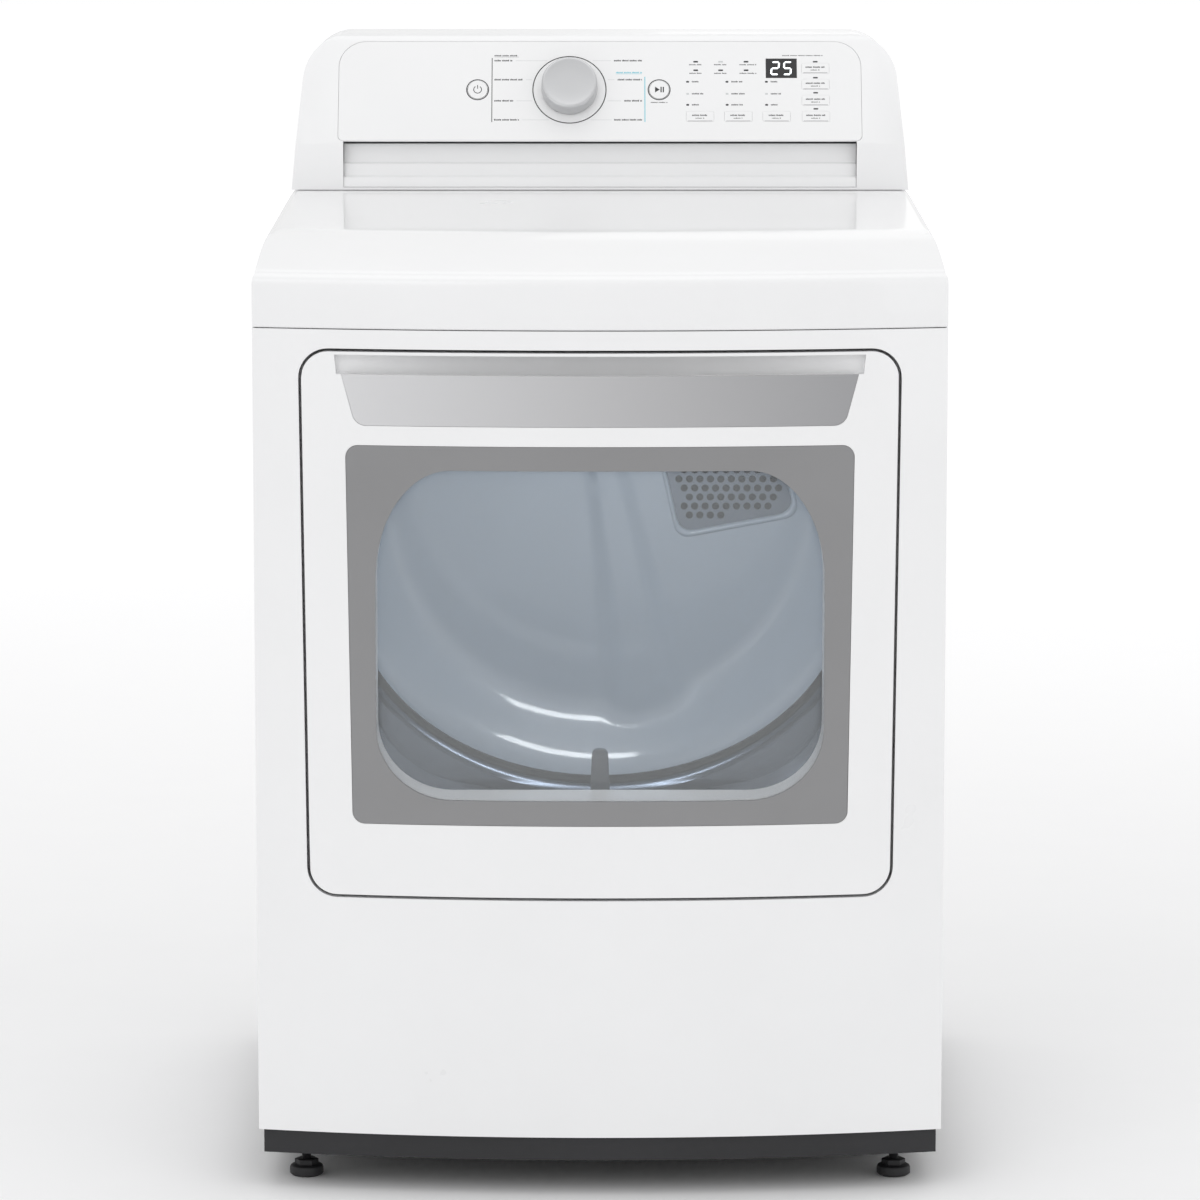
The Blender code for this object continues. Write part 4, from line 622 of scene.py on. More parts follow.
def top_loop(height, front, side, rise):
    """Outline of the top at one level: inset from the front and the sides, rising to the rear."""
    half = HALF - side
    points = front_arc(half, front)
    start = points[-1][1]
    backwards = [start + (DEPTH - start) * k / SIDE_ROWS for k in range(1, SIDE_ROWS + 1)]
    rear = [(-x, DEPTH) for x, y in points[1:-1]]
    points += [(half, y) for y in backwards] + rear + [(-half, y) for y in reversed(backwards)]
    return [(x, y, top_height(height, rise, y)) for x, y in points]


def top_flat(height, front, side, rise):
    """The sheet inside the last outline, in rows from the crest to the rear."""
    rows = []
    for k in range(SIDE_ROWS + 1):
        row = []
        for x, y in front_arc(HALF - side, front):
            y += (DEPTH - y) * k / SIDE_ROWS
            row.append((x, y, top_height(height, rise, y)))
        rows.append(row)
    return loft("flat", rows, False, False, False)


# The top panel's bullnose: height, insets from the front and the sides, all in mm, and share of the rise.
NOSE = (
    (911, 0, 0, 0), (915.5, 0.6, 0.4, 0.1), (918.4, 2.2, 1.2, 0.2), (920, 4, 2.2, 0.25), (921.2, 5.5, 2.6, 0.3),
    (926, 11.5, 3.6, 0.45), (937, 40, 6, 0.6), (947.5, 74, 9, 0.8), (953, 98, 13, 0.9), (955.6, 116, 17.5, 0.98),
    (956, 130, 21, 1),
)


def make_top_panel():
    rows = [(height * MM, front * MM, side * MM, rise) for height, front, side, rise in NOSE]
    loops = [top_loop(SEAM + GAP, 1.2 * MM, 1.2 * MM, 0), top_loop(SEAM + GAP + 1 * MM, 0.2 * MM, 0.2 * MM, 0)]
    loops += [top_loop(SEAM + 3 * MM, 0, 0, 0)]
    loops += [top_loop(*row) for row in curve_through(rows, 5)]
    mesh = cleaned("cabinet_top", merged("cabinet_top", [loft("nose", loops, False, False), top_flat(*rows[-1])]))
    obj = place("cabinet_top", mesh, ENAMEL_WHITE, "cabinet", "top_panel", soft=40)
    sheet(obj, SHEET, -1)


def smooth(obj, angle):
    """Smooth shading that stops at edges sharper than the angle."""
    mesh = obj.data
    mesh.polygons.foreach_set("use_smooth", [True] * len(mesh.polygons))
    bm = bmesh.new()
    bm.from_mesh(mesh)
    for edge in bm.edges:
        edge.smooth = len(edge.link_faces) != 2 or edge.calc_face_angle(0) < radians(angle)
    bm.to_mesh(mesh)
    bm.free()


def make_foot(body, x, y):
    """A moulded pad with a hexagonal collar and a threaded stem."""
    def level(loop, z):
        return [(x + u, y + v, z) for u, v in loop]

    pad = [(0, 13.6), (0.8, 15.3), (2.4, 17), (8, 17), (10, 16.2), (11.2, 14)]
    loops = [level(ring(0, 0, radius * MM), z * MM) for z, radius in pad]
    nut = ((11.1, 11), (11.6, 12), (16.6, 12), (17.1, 11))
    hexagon = [level(ring(0, 0, radius * MM, 6), z * MM) for z, radius in nut]
    crest, root, stem_low, half_pitch = mm(4.95, 4.3, 17, 0.75)
    stem = [level(ring(0, 0, crest if k % 2 else root, 24), stem_low + k * half_pitch) for k in range(46)]
    mesh = merged(body, [loft("pad", loops), loft("nut", hexagon), loft("stem", stem)])
    place(body.replace("foot_", "levelling_foot_"), mesh, BLACK, body, body, soft=30)


def screw_heads(name, spots, radius, body, rise):
    """Pan-head screws with a cross recess, facing the rear, at spots in mm."""
    profile = [(0, -rise), (0.45, -rise), (0.8, -rise * 0.8), (1, -rise * 0.35), (1, 0.2), (0, 0.2)]
    turn = Vector((0, -1, 0)).rotation_difference(Vector((0, 1, 0))).to_matrix().to_4x4()
    long, short = radius * 0.54 * MM, radius * 0.132 * MM
    shapes = [lathe("head", [(radius * MM * r, d * MM) for r, d in profile], 24)]
    for u, v in ((short, long), (long, short)):
        shapes.append(block("slot", (-u, -rise * MM * 1.02, -v), (u, -rise * MM * 0.99, v)))
    meshes = []
    for spot in spots:
        head = merged("head", shapes)
        head.transform(Matrix.Translation(Vector(spot) * MM) @ turn)
        meshes.append(head)
    place(name, merged(name, meshes), BRIGHT, body, slot="bright_steel", soft=35)


# ---------------------------------------------------------------- door


def make_door():
    skin, back, pocket_floor, pocket_low, pocket_high = mm(3, 10, -6, 793.7, 843)
    hollow = bowed("hollow", door_outline(-skin), skin, back + skin)
    pocket = taper(264.6 * MM, 264.6 * MM, pocket_low - skin, DOOR_HIGH, 0)
    opening = taper(259.6 * MM, 261.6 * MM, TRIM_TOP, pocket_high, 0)
    under = taper(249.6 * MM, 249.6 * MM, pocket_low, pocket_high, 0)
    cutters = [
        boolean("hollow", hollow, [drawn("block", "FRONT", [pocket], AHEAD, pocket_floor + skin)]),
        drawn("mouth", "FRONT", [opening], AHEAD, pocket_floor),
        bowed("under", under, 6 * MM, pocket_floor),
        bowed("seat", trim_outline(GAP), -skin, 2.3 * MM, False),
        drawn("hole", "FRONT", [frame_outline(GAP)], AHEAD, 2 * back),
    ]
    mesh = boolean("door_skin", bowed("outer", door_outline(), 0, back), cutters)
    place("door_skin", mesh, WHITE, "door", "door_outer_panel", 1.5 * MM)
    mesh = bowed("grip_trim", trim_outline(), 0, 2 * MM, False)
    # The trim's material carries painted shade, lighter at the left and darker at the right.
    place("grip_trim", mesh, SILVER_FILM_PAINTED_SHADE, "door", "door_handle_trim", 0.6 * MM)
    mesh = bowed("border", frame_outline(), 0, 4 * MM, False)
    mesh = boolean("window_border", mesh, [drawn("hole", "FRONT", [window_outline()], AHEAD, 20 * MM)])
    place("window_border", mesh, GREY, "door", "door_window_frame", 0.7 * MM)
    mesh = bowed("window_pane", window_outline(9 * MM), 4.3 * MM, 7.3 * MM, False)
    place("window_pane", mesh, GLASS, "door", "door_glass", 0.5 * MM)
    plate_mesh = drawn("liner", "FRONT", [door_outline(-1 * MM)], 10.3 * MM, 16 * MM)
    bulge = bowed("bulge", window_outline(13 * MM), 7.6 * MM, 30 * MM)
    mesh = boolean("liner", plate_mesh, [bulge], "UNION")
    mesh = boolean("door_liner", mesh, [drawn("hole", "FRONT", [window_outline()], AHEAD, 60 * MM)])
    place("door_liner", mesh, WHITE, "door", "door_inner_liner", 2.2 * MM, 4)
    mesh = drawn("door_gasket", "FRONT", [mouth_outline(14 * MM), mouth_outline(4 * MM)], 16.3 * MM, 19.4 * MM)
    place("door_gasket", mesh, RUBBER, "door", "door_seal", 1.2 * MM)
    spots = [(x, 16, z) for x in (-270, -120, 120, 270) for z in (325, 826)]
    spots += [(x, 16, z) for x in (-277, 277) for z in (480, 660)]
    screw_heads("liner_screws", spots, 3.6, "door", 1.2)


# ---------------------------------------------------------------- mouth, drum and rear wall

ROUND = 144  # points round the mouth and the rear wall
WALL_LOW, WALL_HIGH = mm(262, 912)
DISH_Z = 628 * MM


def make_mouth():
    front, back = mm(22.3, 91)
    mouth = resample(mouth_outline(), ROUND, DRUM_Z)
    rear = resample(oval(257 * MM, 200.5 * MM), ROUND, DRUM_Z)
    loops = []
    for k in range(25):
        share = k / 24
        ease = share * share * (3 - 2 * share)
        swell = sum(sin(pi * min(1, max(0, (share - start) / 0.25))) for start in (0.2, 0.58))
        ridge = 2.2 * MM * swell * min(1, 4 * share, 4 * (1 - share))
        loop = []
        for (u0, v0), (u1, v1) in zip(mouth, rear):
            u, v = u0 + (u1 - u0) * ease, v0 + (v1 - v0) * ease
            away = Vector((u, v - DRUM_Z)).normalized() * ridge
            loop.append((u + away.x, front + (back - front) * share, v + away.y))
        loops.append(loop)
    collar = loft("collar", loops, False, False)
    slot = block("slot", mm(-63, 47, 340), mm(63, 67, 417))
    thick = boolean("collar", thickened("collar", collar, -1), [slot])
    edge = taper(335 * MM, 335 * MM, WALL_LOW, WALL_HIGH, 0)
    hole = resample(oval(262 * MM, 205.5 * MM), ROUND, DRUM_Z)
    notch = block("notch", (-65.6 * MM, 0, 0), mm(65.6, 62, 374))
    plane = boolean("plane", drawn("plane", "FRONT", [edge, hole], 58 * MM, 58 * MM + SHEET), [notch])
    mesh = merged("mouth_collar", [thick, plane])
    place("mouth_collar", mesh, COLLAR, "cabinet", "front_bulkhead", soft=40)
    felt = [ring(0, DRUM_Z, 284 * MM, ROUND), oval(*mm(250, 193.5))]
    seal = drawn("mouth_seal", "FRONT", felt, *mm(91.3, 97.4))
    place("mouth_seal", seal, RUBBER, "cabinet", "drum_front_seal", 1.8 * MM, 4)


def make_drum():
    profile = [(262, 101.5), (262, 99.2), (263, 98.2), (266, 98), (312, 98), (317.5, 99.2), (319.6, 102), (320, 106)]
    profile += [(320, 604), (318, 604)]
    inner = [(318, y) for y in (590, 566)]
    for middle in (548, 524):
        inner += [(318, middle + 9), (316.6, middle + 6), (315.2, middle), (316.6, middle - 6), (318, middle - 9)]
    inner += [(318, 500), (318, 300), (318, 112), (316.5, 104), (312, 100.3), (268, 100.2), (265, 100.6)]
    inner.append((263.5, 101.5))
    mesh = lathe("drum_barrel", [(r * MM, y * MM) for r, y in profile + inner], 192, True)
    mesh.transform(Matrix.Translation((0, 0, DRUM_Z)))
    place("drum_barrel", mesh, DRUM, "drum", "drum_shell", soft=40)


def grille_outline(grow=0.0):
    share = 230 * MM
    corners = [(share * u, DISH_Z + share * v) for u, v in ((0.39, -0.21), (0.93, -0.11), (0.77, 0.49), (0.23, 0.49))]
    middle = Vector((sum(u for u, v in corners) / 4, sum(v for u, v in corners) / 4))
    grown = []
    for u, v in corners:
        away = (Vector((u, v)) - middle).normalized() * grow
        grown.append((u + away.x, v + away.y, 16 * MM))
    return fillet(grown)


WALL_DEPTH = 608 * MM


def step_between(low, high, value):
    t = min(1.0, max(0.0, (value - low) / (high - low)))
    return t * t * (3 - 2 * t)


def rear_depth(x, z, share):
    """Depth of the rear wall: a cone into a shallow dish, with a broad soft rib pressed down its face."""
    depth = WALL_DEPTH + 40 * MM * step_between(0, 1, share)
    below = 644 * MM - z
    line, width = 8 * MM + below * 0.185, 20 * MM + max(0.0, below) * 0.085
    rib = 1 - step_between(0.45, 1.25, abs(x - line) / width)
    left = 1 - step_between(-6 * MM, 26 * MM, x - line)
    inner_dish = step_between(0.98, 1.0, share) * (1 - step_between(185 * MM, 205 * MM, hypot(x, z - 640 * MM)))
    return depth - 9 * MM * rib * step_between(0.6, 1, share) + 1.2 * MM * inner_dish * left


def make_rear_wall():
    square = resample(taper(337 * MM, 337 * MM, WALL_LOW, WALL_HIGH, 0), ROUND, DRUM_Z)
    loops = [[(u, WALL_DEPTH, v) for u, v in square]]
    cone, dish = mm(298, 230)

    def level(radius, centre, share):
        loop = []
        for k in range(ROUND):
            angle = 2 * pi * (k + 0.5) / ROUND
            x, z = radius * cos(angle), centre + radius * sin(angle)
            loop.append((x, rear_depth(x, z, share), z))
        return loop

    for k in range(17):
        share = k / 16
        loops.append(level(cone + (dish - cone) * share, DRUM_Z + (DISH_Z - DRUM_Z) * share, share))
    for k in range(1, 36):
        loops.append(level(dish * (1 - k / 36), DISH_Z, 1))
    thick = thickened("rear_wall", loft("rear_wall", loops, first=False), 0)
    hole = drawn("hole", "FRONT", [grille_outline(2 * MM)], 590 * MM, 700 * MM)
    place("drum_rear_wall", boolean("rear_wall", thick, [hole]), DRUM, "cabinet", "rear_bulkhead", soft=45)
    rim = []
    for k in range(11):
        angle = pi * k / 10
        away, height = 4.5 * MM * (1 - cos(angle)) - 0.4 * MM, 5 * MM * sin(angle)
        rim.append([(u, 648.8 * MM - height, v) for u, v in grille_outline(2 * MM + away)])
    mesh = loft("grille_rim", rim, False, False)
    sheet(place("grille_rim", mesh, DRUM, "cabinet", slot="drum_enamel", soft=60), 0.8 * MM, -1)


def inside(outline, u, v, margin):
    for (u0, v0), (u1, v1) in zip(outline, outline[1:] + outline[:1]):
        edge = Vector((u1 - u0, v1 - v0))
        if edge.length > 1e-9 and edge.normalized().cross(Vector((u - u0, v - v0))) < margin:
            return False
    return True


def make_grille():
    outline = grille_outline(6 * MM)
    left, right = min(u for u, v in outline), max(u for u, v in outline)
    low, high = min(v for u, v in outline), max(v for u, v in outline)
    pitch, radius, margin = mm(11.6, 4.1, 8.5)
    row_pitch = pitch * 0.866
    holes = []
    for row in range(int((high - low) / row_pitch) + 1):
        for column in range(int((right - left) / pitch) + 2):
            u, v = left + (column + row % 2 / 2) * pitch, low + row * row_pitch
            if inside(outline, u, v, radius + margin):
                holes.append(ring(u, v, radius, 12))
    mesh = drawn("inlet_grille", "FRONT", [outline, *holes], 649.2 * MM, 651 * MM)
    place("inlet_grille", mesh, GRILLE_STEEL, "cabinet", "air_inlet_grille", 0.25 * MM, 1)
    # The heater duct is made near-black: painted shade behind the grille.
    NODES["heater_duct"].data.materials[0] = DUCT_PAINTED_SHADE


def make_lint_filter():
    half, near, far, top = mm(60, 50, 64, 391.3)
    body = block("body", (-half, near, top - 205 * MM), (half, far, top))
    opening = block("window", (-50 * MM, near + 2 * MM, top - 195 * MM), (50 * MM, far + 10 * MM, top - 20 * MM))
    body = boolean("body", body, [opening])
    grip = taper(10 * MM, 8 * MM, top - 2 * MM, top + 46 * MM, 6 * MM)
    body = boolean("lint_screen", body, [drawn("grip", "FRONT", [grip], 52 * MM, 62 * MM)], "UNION")
    place("lint_screen", body, SMOKE, "filter", "lint_filter", 1.6 * MM, 3)
    bars = [((-50.5, 51.8, z), (50.5, 53.2, z + 1.6)) for z in range(206, 370, 20)]
    bars += [((x, 51.8, 196), (x + 1.6, 53.2, 372)) for x in range(-40, 50, 20)]
    bars = [block("bar", Vector(low) * MM, Vector(high) * MM) for low, high in bars]
    place("lint_screen_ribs", merged("ribs", bars), SMOKE, "filter", slot="filter_plastic")

# ---------------------------------------------------------------- console

FACE_LEAN = 55 / 103  # depth gained by the panel's face for each unit of height
FACE_TILT = atan2(1, FACE_LEAN)
FACE = Matrix.Translation((0, SHIFT + 532.5 * MM, 1071.5 * MM)) @ Matrix.Rotation(FACE_TILT, 4, "X")
FACE_HALF, FACE_TALL, CONSOLE_HALF = mm(280.5, 58.38, 332)
KNOB, POWER, START = mm(-32.8, 1.4), mm(-131.4, 1.4), mm(63.5, 1.4)
DISPLAY = mm(194.9, 26.8)
KEYS = {
    "dry_level": (107.3, -30), "temperature": (148.3, -30), "time_dry": (189.4, -30), "more_time": (231.5, 26.8),
    "less_time": (231.5, 7.8), "energy_saver": (231.5, -11), "wrinkle_care": (231.5, -30),
}
KEY_SIZE, KEY_CORNER, KEY_GAP = mm(29.6, 12), 2 * MM, 0.15 * MM
PAD_PROUD, BUTTON_PROUD = mm(0.15, 0.5)  # how far they stand out of the face
PLUNGE = -7 * MM  # the inner ends of keys and buttons
PRINT = 0.07 * MM


def face_outline(grow=0.0, low=6 * MM, high=30 * MM, steps=14):
    half, tall = FACE_HALF + grow, FACE_TALL + grow
    return fillet([(-half, -tall, low), (half, -tall, low), (half, tall, high), (-half, tall, high)], steps)


def on_face(name, shapes, low, high, material, body, node, bevel, segments=2):
    return place(name, drawn(name, "PLAN", shapes, low, high), material, body, node, bevel, segments, FACE)


def side_outline(wall):
    """The console from the side, shrunk by the wall."""
    lower, base, back, top = 503 * MM + wall, FLAT + GAP + wall, DEPTH - wall, TOP - wall
    upper = 505 * MM + wall * 1.15 + FACE_LEAN * (TOP - 1020 * MM)
    corners = [(lower + 3 * MM, base, 0), (back, base, 0), (back, top, 10 * MM), (upper, top, 14 * MM)]
    return fillet([*corners, (lower, 1016 * MM, 0)], 12)


def end_outline(wall):
    """The console from the front, shrunk by the wall."""
    low, high, top, shoulder = CONSOLE_HALF - wall, 315 * MM - wall, TOP - wall, 50 * MM - wall
    return fillet([(-low, 951 * MM, 0), (low, 951 * MM, 0), (high, top, shoulder), (-high, top, shoulder)], 20)


def turned_face(mesh):
    """A mesh in the face's own coordinates, moved to cabinet coordinates."""
    mesh.transform(Matrix.Translation((0, -SHIFT, 0)) @ FACE)
    return mesh


def console_block(wall):
    across = drawn("side", "SIDE", [side_outline(wall)], -CONSOLE_HALF, CONSOLE_HALF)
    return boolean("console", across, [drawn("end", "FRONT", [end_outline(wall)], 0, BEHIND)], "INTERSECT")


def make_console():
    cutters = [
        console_block(3 * MM),
        block("trim", mm(-274.8, 0, 970), mm(274.8, 535, 1022)),
        turned_face(drawn("face", "PLAN", [face_outline(GAP)], -12 * MM, 12 * MM)),
        drawn("back", "FRONT", [taper(313.3 * MM, 313.3 * MM, 974.7 * MM, 1081.3 * MM, 0)], 680 * MM, BEHIND),
    ]
    mesh = boolean("console_body", console_block(0), cutters)
    place("console_body", mesh, WHITE, "cabinet", "console_housing", 1.4 * MM, 3)
    make_lower_trim()
    make_face()


def make_lower_trim():
    """The stepped panel under the control face."""
    rows = [(506, 970.4), (507.6, 971.5), (508.3, 979.2), (509.4, 981.4), (511.6, 982), (512.2, 984), (512.4, 992.5)]
    rows += [(513.2, 995), (515.2, 995.8), (515.8, 998), (516.6, 1008), (517.6, 1016)]
    front = [(y * MM, z * MM) for y, z in rows]
    back = [(y + 2.4 * MM, z) for y, z in reversed(front)]
    mesh = drawn("console_cove", "SIDE", [front + back], -274.5 * MM, 274.5 * MM)
    place("console_cove", mesh, WHITE, "cabinet", "console_lower_trim", soft=50)


def make_face():
    back, (wide, tall) = -3 * MM, KEY_SIZE
    holes = [ring(*spot, 11 * MM, 48) for spot in (POWER, START)]
    holes += [ring(*KNOB, 8 * MM, 32), plate(*DISPLAY, 33.5 * MM, 23.1 * MM)]
    for u, v in KEYS.values():
        holes.append(plate(u * MM, v * MM, wide + 2 * KEY_GAP, tall + 2 * KEY_GAP, KEY_CORNER + KEY_GAP))
    outline, lens = face_outline(), plate(*DISPLAY, 32.9 * MM, 22.5 * MM, 1 * MM)
    on_face("control_face", [outline, *holes], back, 0, FASCIA_WHITE, "cabinet", "control_fascia", 0.1 * MM)
    on_face("display_window", [lens], back, 0, LENS, "cabinet", "display_lens", 0.3 * MM)
    for name, (u, v) in KEYS.items():
        pad, node = plate(u * MM, v * MM, wide, tall, KEY_CORNER, 6), "key_" + name
        on_face("pad_" + name, [pad], PLUNGE, PAD_PROUD, FASCIA_WHITE, node, node, 0.15 * MM)
    for name, spot, node in (("power", POWER, "power_button"), ("start", START, "start_pause_button")):
        disc = ring(*spot, 10.5 * MM, 64)
        on_face("round_" + name, [disc], PLUNGE, BUTTON_PROUD, FASCIA_WHITE, name, node, 0.6 * MM, 3)
    make_knob()
    make_prints()


def make_knob():
    profile = [(0, 19.1), (12, 19.15), (22, 19.4), (26, 19.8), (27.6, 20), (28.6, 19.8), (29.3, 19.3), (29.7, 18.5)]
    profile += [(29.8, 17.4), (29.9, 12), (30, 5), (30, 2.6), (29.6, 1.6), (28.8, 1.1), (27, 1), (5, 1), (5, -6)]
    profile.append((0, -6))
    mesh = lathe("dial", [(r * MM, h * MM) for r, h in profile], 160)
    mesh.transform(FACE @ Matrix.Translation((*KNOB, 0)) @ Matrix.Rotation(pi / 2, 4, "X"))
    place("dial", mesh, SATIN, "knob", "control_knob", at=Matrix.Identity(4), soft=50)


def words(u, v, wide, tall=1.5, right=False):
    """A stand-in for a printed label: short blocks grouped like words, in mm, each a group for print_marks."""
    marks, x, k = [], 0.0, 0
    while x < wide - 0.8:
        width = (1.0, 0.7, 1.15, 0.9, 0.75)[(k + int(abs(u) + abs(v))) % 5]
        height = (1.0, 1.0, 1.25, 1.0)[(k + int(abs(v))) % 4] * tall
        marks.append((x, width, height))
        x += width + (1.3 if k % 6 == 5 else 0.35)
        k += 1
    start = u - x + 0.35 if right else u
    return [[bar(start + at + width / 2, v - tall / 2 + height / 2, width, height)] for at, width, height in marks]


def bar(u, v, wide, tall, radius=0.0):
    return plate(u * MM, v * MM, wide * MM, tall * MM, radius * MM, 2)


def band(u, v, outer, inner, low=0.0, high=2 * pi, count=72):
    """A ring, or part of one, as outline loops in mm."""
    if high - low > 6.28:
        return [ring(u * MM, v * MM, outer * MM, count), ring(u * MM, v * MM, inner * MM, count)]
    angles = [low + (high - low) * k / count for k in range(count + 1)]
    loop = [((u + outer * cos(a)) * MM, (v + outer * sin(a)) * MM) for a in angles]
    return [loop + [((u + inner * cos(a)) * MM, (v + inner * sin(a)) * MM) for a in reversed(angles)]]


def print_marks(name, groups, material, body="cabinet", base=0.0):
    """Printed marks as a thin layer on the face. Each group is one outline with its holes."""
    meshes = [drawn(name, "PLAN", group, base - 0.02 * MM, base + PRINT) for group in groups]
    return place(name, merged(name, meshes), material, body, at=FACE)


def make_prints():
    knob_u, knob_v, reach = KNOB[0] / MM, KNOB[1] / MM, 41.5
    dark = [[bar(-116, 1.2, 0.8, 75.5)], *words(-113.5, 41.6, 25, 1.2), [bar(-100.5, 40.1, 26, 0.25)]]
    grey = []
    for v, left, right in ((35.7, 20, 31), (13.2, 31, 27), (-11.7, 21, 20), (-34.1, 27, 30)):
        dark += words(-113.5, v, left) + words(45, v, right, right=True)
        run = sqrt(reach**2 - (v - knob_v) ** 2)
        for near, far in ((-112 + left, knob_u - run), (knob_u + run, 43 - right)):
            near, far = near + 1.5, far - 0.5
            if far - near > 1:
                grey.append([bar((near + far) / 2, v, far - near, 0.3)])
    dark += [band(knob_u, knob_v, 39.8, 38.7, count=160)]
    dark += [band(u / MM, v / MM, 12.3, 11.3) for u, v in (POWER, START)] + words(54.5, -13.6, 18, 0.9)
    cyan = [[bar(48.2, -9.9, 0.9, 53.2)], *words(45, 21.6, 28, 1.3, True), [bar(31, 20.1, 28, 0.3)]]
    lamps, lit = [], []
    for u in (102.9, 129.7, 157.1):
        for v in (34.5, 24.4):
            (lit if (u, v) == (129.7, 34.5) else lamps).append([bar(u, v, 5, 1.8, 0.4)])
            dark += words(u - 7, v - 3.6, 14 if u < 150 else 18, 1.0)
    for u, wide in ((94.1, 9), (136.4, 12), (178.8, 8)):
        for v in (10.8, -3.4, -16.4):
            (lit if v == -3.4 else lamps).append([bar(u, v, 3, 2, 0.5)])
            dark += words(u + 4.6, v, wide + (3 if v == -3.4 else 0), 1.3)
    for v in (34.5, 15.6, -2.2, -21.1):
        lamps.append([bar(231.5, v, 5, 1.6, 0.4)])
    print_marks("print_dark", dark + words(196, 41.8, 44, 0.8), DARK_INK)
    print_marks("print_leaders", grey, LIGHT_INK)
    print_marks("print_accent", cyan, CYAN_INK)
    print_marks("lamps_dark", lamps, DARK_INK)
    print_marks("lamps_lit", lit, LED_OFF)
    for name, (u, v) in KEYS.items():
        wide = 21 if v != -30 or u > 200 else 17
        marks = words(u - wide / 2, v + 1.2, wide, 1.4) + words(u - 5, v - 2.2, 10, 0.8)
        print_marks("print_" + name, marks, DARK_INK, "key_" + name, PAD_PROUD)
        print_marks("line_" + name, [[bar(u, v - 5.3, 26, 0.4)]], INK, "key_" + name, PAD_PROUD)
    u, v = POWER[0] / MM, POWER[1] / MM
    symbol = [band(u, v, 4.6, 3.8, radians(125), radians(415), 40), [bar(u, v + 3.2, 0.8, 4.4)]]
    print_marks("power_symbol", symbol, DARK_INK, "power", BUTTON_PROUD)
    u = START[0] / MM
    triangle = [[((u - 4.4) * MM, (v + 3.4) * MM), ((u - 4.4) * MM, (v - 3.4) * MM), ((u + 0.6) * MM, v * MM)]]
    symbol = [triangle, [bar(u + 2.1, v, 1.3, 6.4)], [bar(u + 4.5, v, 1.3, 6.4)]]
    print_marks("start_symbol", symbol, DARK_INK, "start", BUTTON_PROUD)
    make_digits()


def make_digits():
    """Two seven-segment digits behind the lens."""
    lit = {"2": "abged", "5": "afgcd"}
    wide, tall, thick, slant = 7.6, 14.4, 1.7, 0.08
    base = DISPLAY[1] / MM
    spots = {
        "a": (0, tall / 2, wide, 0), "g": (0, 0, wide, 0), "d": (0, -tall / 2, wide, 0),
        "f": (-wide / 2, tall / 4, tall / 2, 1), "b": (wide / 2, tall / 4, tall / 2, 1),
        "e": (-wide / 2, -tall / 4, tall / 2, 1), "c": (wide / 2, -tall / 4, tall / 2, 1),
    }
    shapes = []
    for digit, middle in (("2", 188.3), ("5", 201.5)):
        for key in lit[digit]:
            du, dv, length, upright = spots[key]
            reach, half = length / 2 - 0.3, thick / 2
            short = reach - half
            loop = [(-reach, 0), (-short, -half), (short, -half), (reach, 0), (short, half), (-short, half)]
            if upright:
                loop = [(-b, a) for a, b in loop]
            shapes.append([[((middle + du + a + slant * (dv + b)) * MM, (base + dv + b) * MM) for a, b in loop]])
    print_marks("display_digits", shapes, DIGITS)

# ---------------------------------------------------------------- rear, ducts and small parts


REAR, VENT_Z = mm(698.5, 108)


def make_exhaust():
    """A round pipe from the blower to the middle of the rear, narrowed by a shallow bead at each inner point of its
    path.
    """
    y, z, side_x, stretch = 113 * MM, VENT_Z, -186 * MM, 9
    points = [(-101 * MM, y, z), (-128 * MM, y, z), (side_x, y + 46 * MM, z), (side_x, 305 * MM, z)]
    points += [(side_x / 2, 465 * MM, z), (0, 585 * MM, z), (0, 711 * MM, z)]
    path = [Vector(point) for point in curve_through(points, stretch)]
    loops = []
    for i, spot in enumerate(path):
        ahead = (path[min(i + 1, len(path) - 1)] - path[max(i - 1, 0)]).normalized()
        if i == 0:
            ahead = Vector((-1, 0, 0))
        if i == len(path) - 1:
            ahead = Vector((0, 1, 0))
        across = ahead.cross(Vector((0, 0, 1))).normalized()
        up = across.cross(ahead)
        bead = 1.2 * MM if i % stretch == 0 and 0 < i < len(path) - 1 else 0
        radius = 48 * MM - bead
        loops.append([spot + (across * cos(2 * pi * k / 64) + up * sin(2 * pi * k / 64)) * radius for k in range(64)])
    mesh = loft("vent_pipe", loops, False, False)
    sheet(place("vent_pipe", mesh, STEEL, "cabinet", "exhaust_duct", soft=60), SHEET, 0)


def turned_ring(name, profile, steps, at, material, slot):
    """A closed ring lathed from (radius, depth) points in mm, at a place on the rear panel."""
    mesh = lathe(name, [(r * MM, d * MM) for r, d in profile], steps, True)
    mesh.transform(Matrix.Translation(at))
    place(name, mesh, material, "cabinet", slot=slot, soft=40)


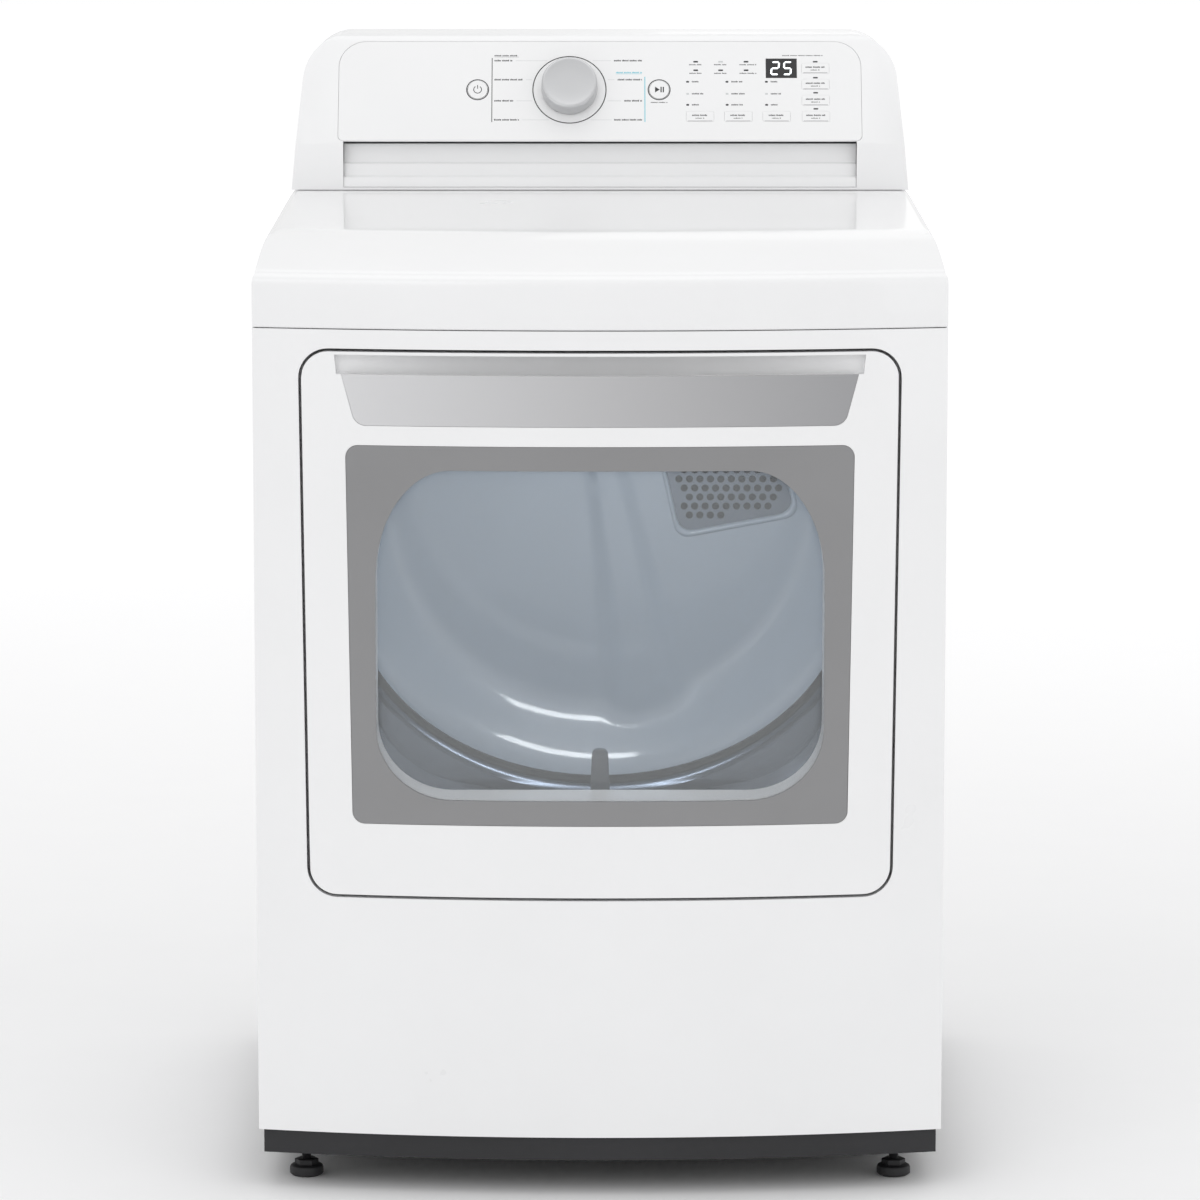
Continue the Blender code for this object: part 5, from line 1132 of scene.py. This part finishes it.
def make_rear_details():
    profile = ((53.5, 0.2), (60, 0.2), (60, 1.6), (57, 2.6), (54.2, 3), (53.5, 2))
    turned_ring("vent_collar", profile, 96, (0, REAR, VENT_Z), STEEL, "galvanised_steel")
    rear = REAR / MM
    spots = [(x, rear, z) for x in (-328, 328) for z in (80, 270, 460, 650, 845)]
    spots += [(x, rear, 851) for x in (-165, 0, 165)] + [(x, rear, 70) for x in (-165, 165)]
    screw_heads("rear_screws", spots, 4.2, "cabinet", 2)
    screw_heads("console_screws", [(x, 700, z) for x in (-302, 0, 302) for z in (985, 1071)], 4.0, "cabinet", 2)
    flush = 0.0001
    screw_heads("terminal_screws", [(197, 711, 649), (278, 711, 649), (237.5, 711, 742)], 3.4, "cabinet", flush)
    profile = ((9, 0.4), (15, 0.4), (15, 2.4), (13.4, 4), (9, 4))
    turned_ring("cord_entry", profile, 48, (237.5 * MM, REAR, 615 * MM), BLACK, "black_plastic")
    ribs = []
    for z, middle, half in ((200, 0, 250), (330, 0, 250), (560, -80, 150), (690, -80, 150)):
        ends, loops = ((middle - half) * MM, (middle + half) * MM), []
        for angle in (pi * k / 8 for k in range(9)):
            y = REAR - 0.1 * MM + 2.4 * MM * sin(angle)
            loops.append([(x, y, z * MM - 7 * MM * cos(angle)) for x in ends])
        ribs.append(loft("rib", loops, False, False, False))
    place("rear_ribs", merged("rear_ribs", ribs), ENAMEL_WHITE, "cabinet", slot="white_enamel", soft=60)


make_front_panel()
make_top_panel()
for end, foot_y in (("front", 50), ("rear", 650)):
    for hand, foot_x in (("left", -298), ("right", 298)):
        make_foot(f"foot_{end}_{hand}", foot_x * MM, foot_y * MM)
make_door()
make_mouth()
make_drum()
make_rear_wall()
make_grille()
make_lint_filter()
make_console()
make_exhaust()
make_rear_details()

# ---------------------------------------------------------------- room, lights and camera


# Each light's place, what it points at, its size and its power. The last is a small lamp inside the mouth.
LIGHTS = {
    "key": ((-1.6, -3.6, 2.4), (0, 0, 0.6), (2.2, 2.2), 16),
    "fill": ((2.4, -3.4, 1.5), (0, 0, 0.6), (1.6, 2.4), 7),
    "above": ((0, -0.2, 3.2), (0, 0, 0.8), (2.6, 1.8), 10),
    "rear": ((1.2, 3.4, 2.2), (0, 0, 0.6), (2.6, 2.0), 5),
    "drum_light": ((0.04, -0.17, 0.80), (0, 0.22, 0.5), (0.16, 0.05), 0.9, (0.93, 0.97, 1)),
}
WORLD_SEEN, WORLD_LIGHT = 1.0, 0.84  # the background's strength as the camera sees it, and as it lights
FLOOR_REACH = 30
CAMERA_AT, CAMERA_DOWN, CAMERA_LENS = (0, -5.8365, 1.4), radians(8.308), 168.1


def area(name, location, aim, size, power, colour=(1, 1, 1)):
    light = bpy.data.lights.new(name, "AREA")
    light.shape = "RECTANGLE"
    light.size, light.size_y = size
    light.energy = power
    light.color = colour
    obj = linked(name, light)
    obj.location = location
    obj.rotation_euler = (Vector(aim) - Vector(location)).to_track_quat("-Z", "Y").to_euler()


def make_room():
    bm = bmesh.new()
    bmesh.ops.create_grid(bm, x_segments=2, y_segments=2, size=FLOOR_REACH)
    floor = linked("floor", mesh_of(bm, "floor"))
    floor.data.materials.append(FLOOR)
    world = bpy.data.worlds.new("studio")
    bpy.context.scene.world = world
    world.use_nodes = True
    tree = world.node_tree
    soft = tree.nodes["Background"]
    white = (1, 1, 1, 1)
    soft.inputs["Color"].default_value, soft.inputs["Strength"].default_value = white, WORLD_LIGHT
    bright = new(tree, "Background", Color=white, Strength=WORLD_SEEN)
    ray, mix = new(tree, "LightPath"), new(tree, "MixShader")
    link(tree, ray, "Is Camera Ray", mix, "Fac")
    link(tree, soft, "Background", mix, 1)
    link(tree, bright, "Background", mix, 2)
    link(tree, mix, "Shader", tree.nodes["World Output"], "Surface")
    for name, light in LIGHTS.items():
        area(name, *light)


def make_camera():
    camera = bpy.data.cameras.new("camera")
    camera.sensor_width = 36
    camera.lens = CAMERA_LENS
    obj = linked("camera", camera)
    obj.location = CAMERA_AT
    obj.rotation_euler = (pi / 2 - CAMERA_DOWN, 0, 0)
    bpy.context.scene.camera = obj


make_room()
make_camera()
bpy.context.scene.view_settings.view_transform = "Standard"
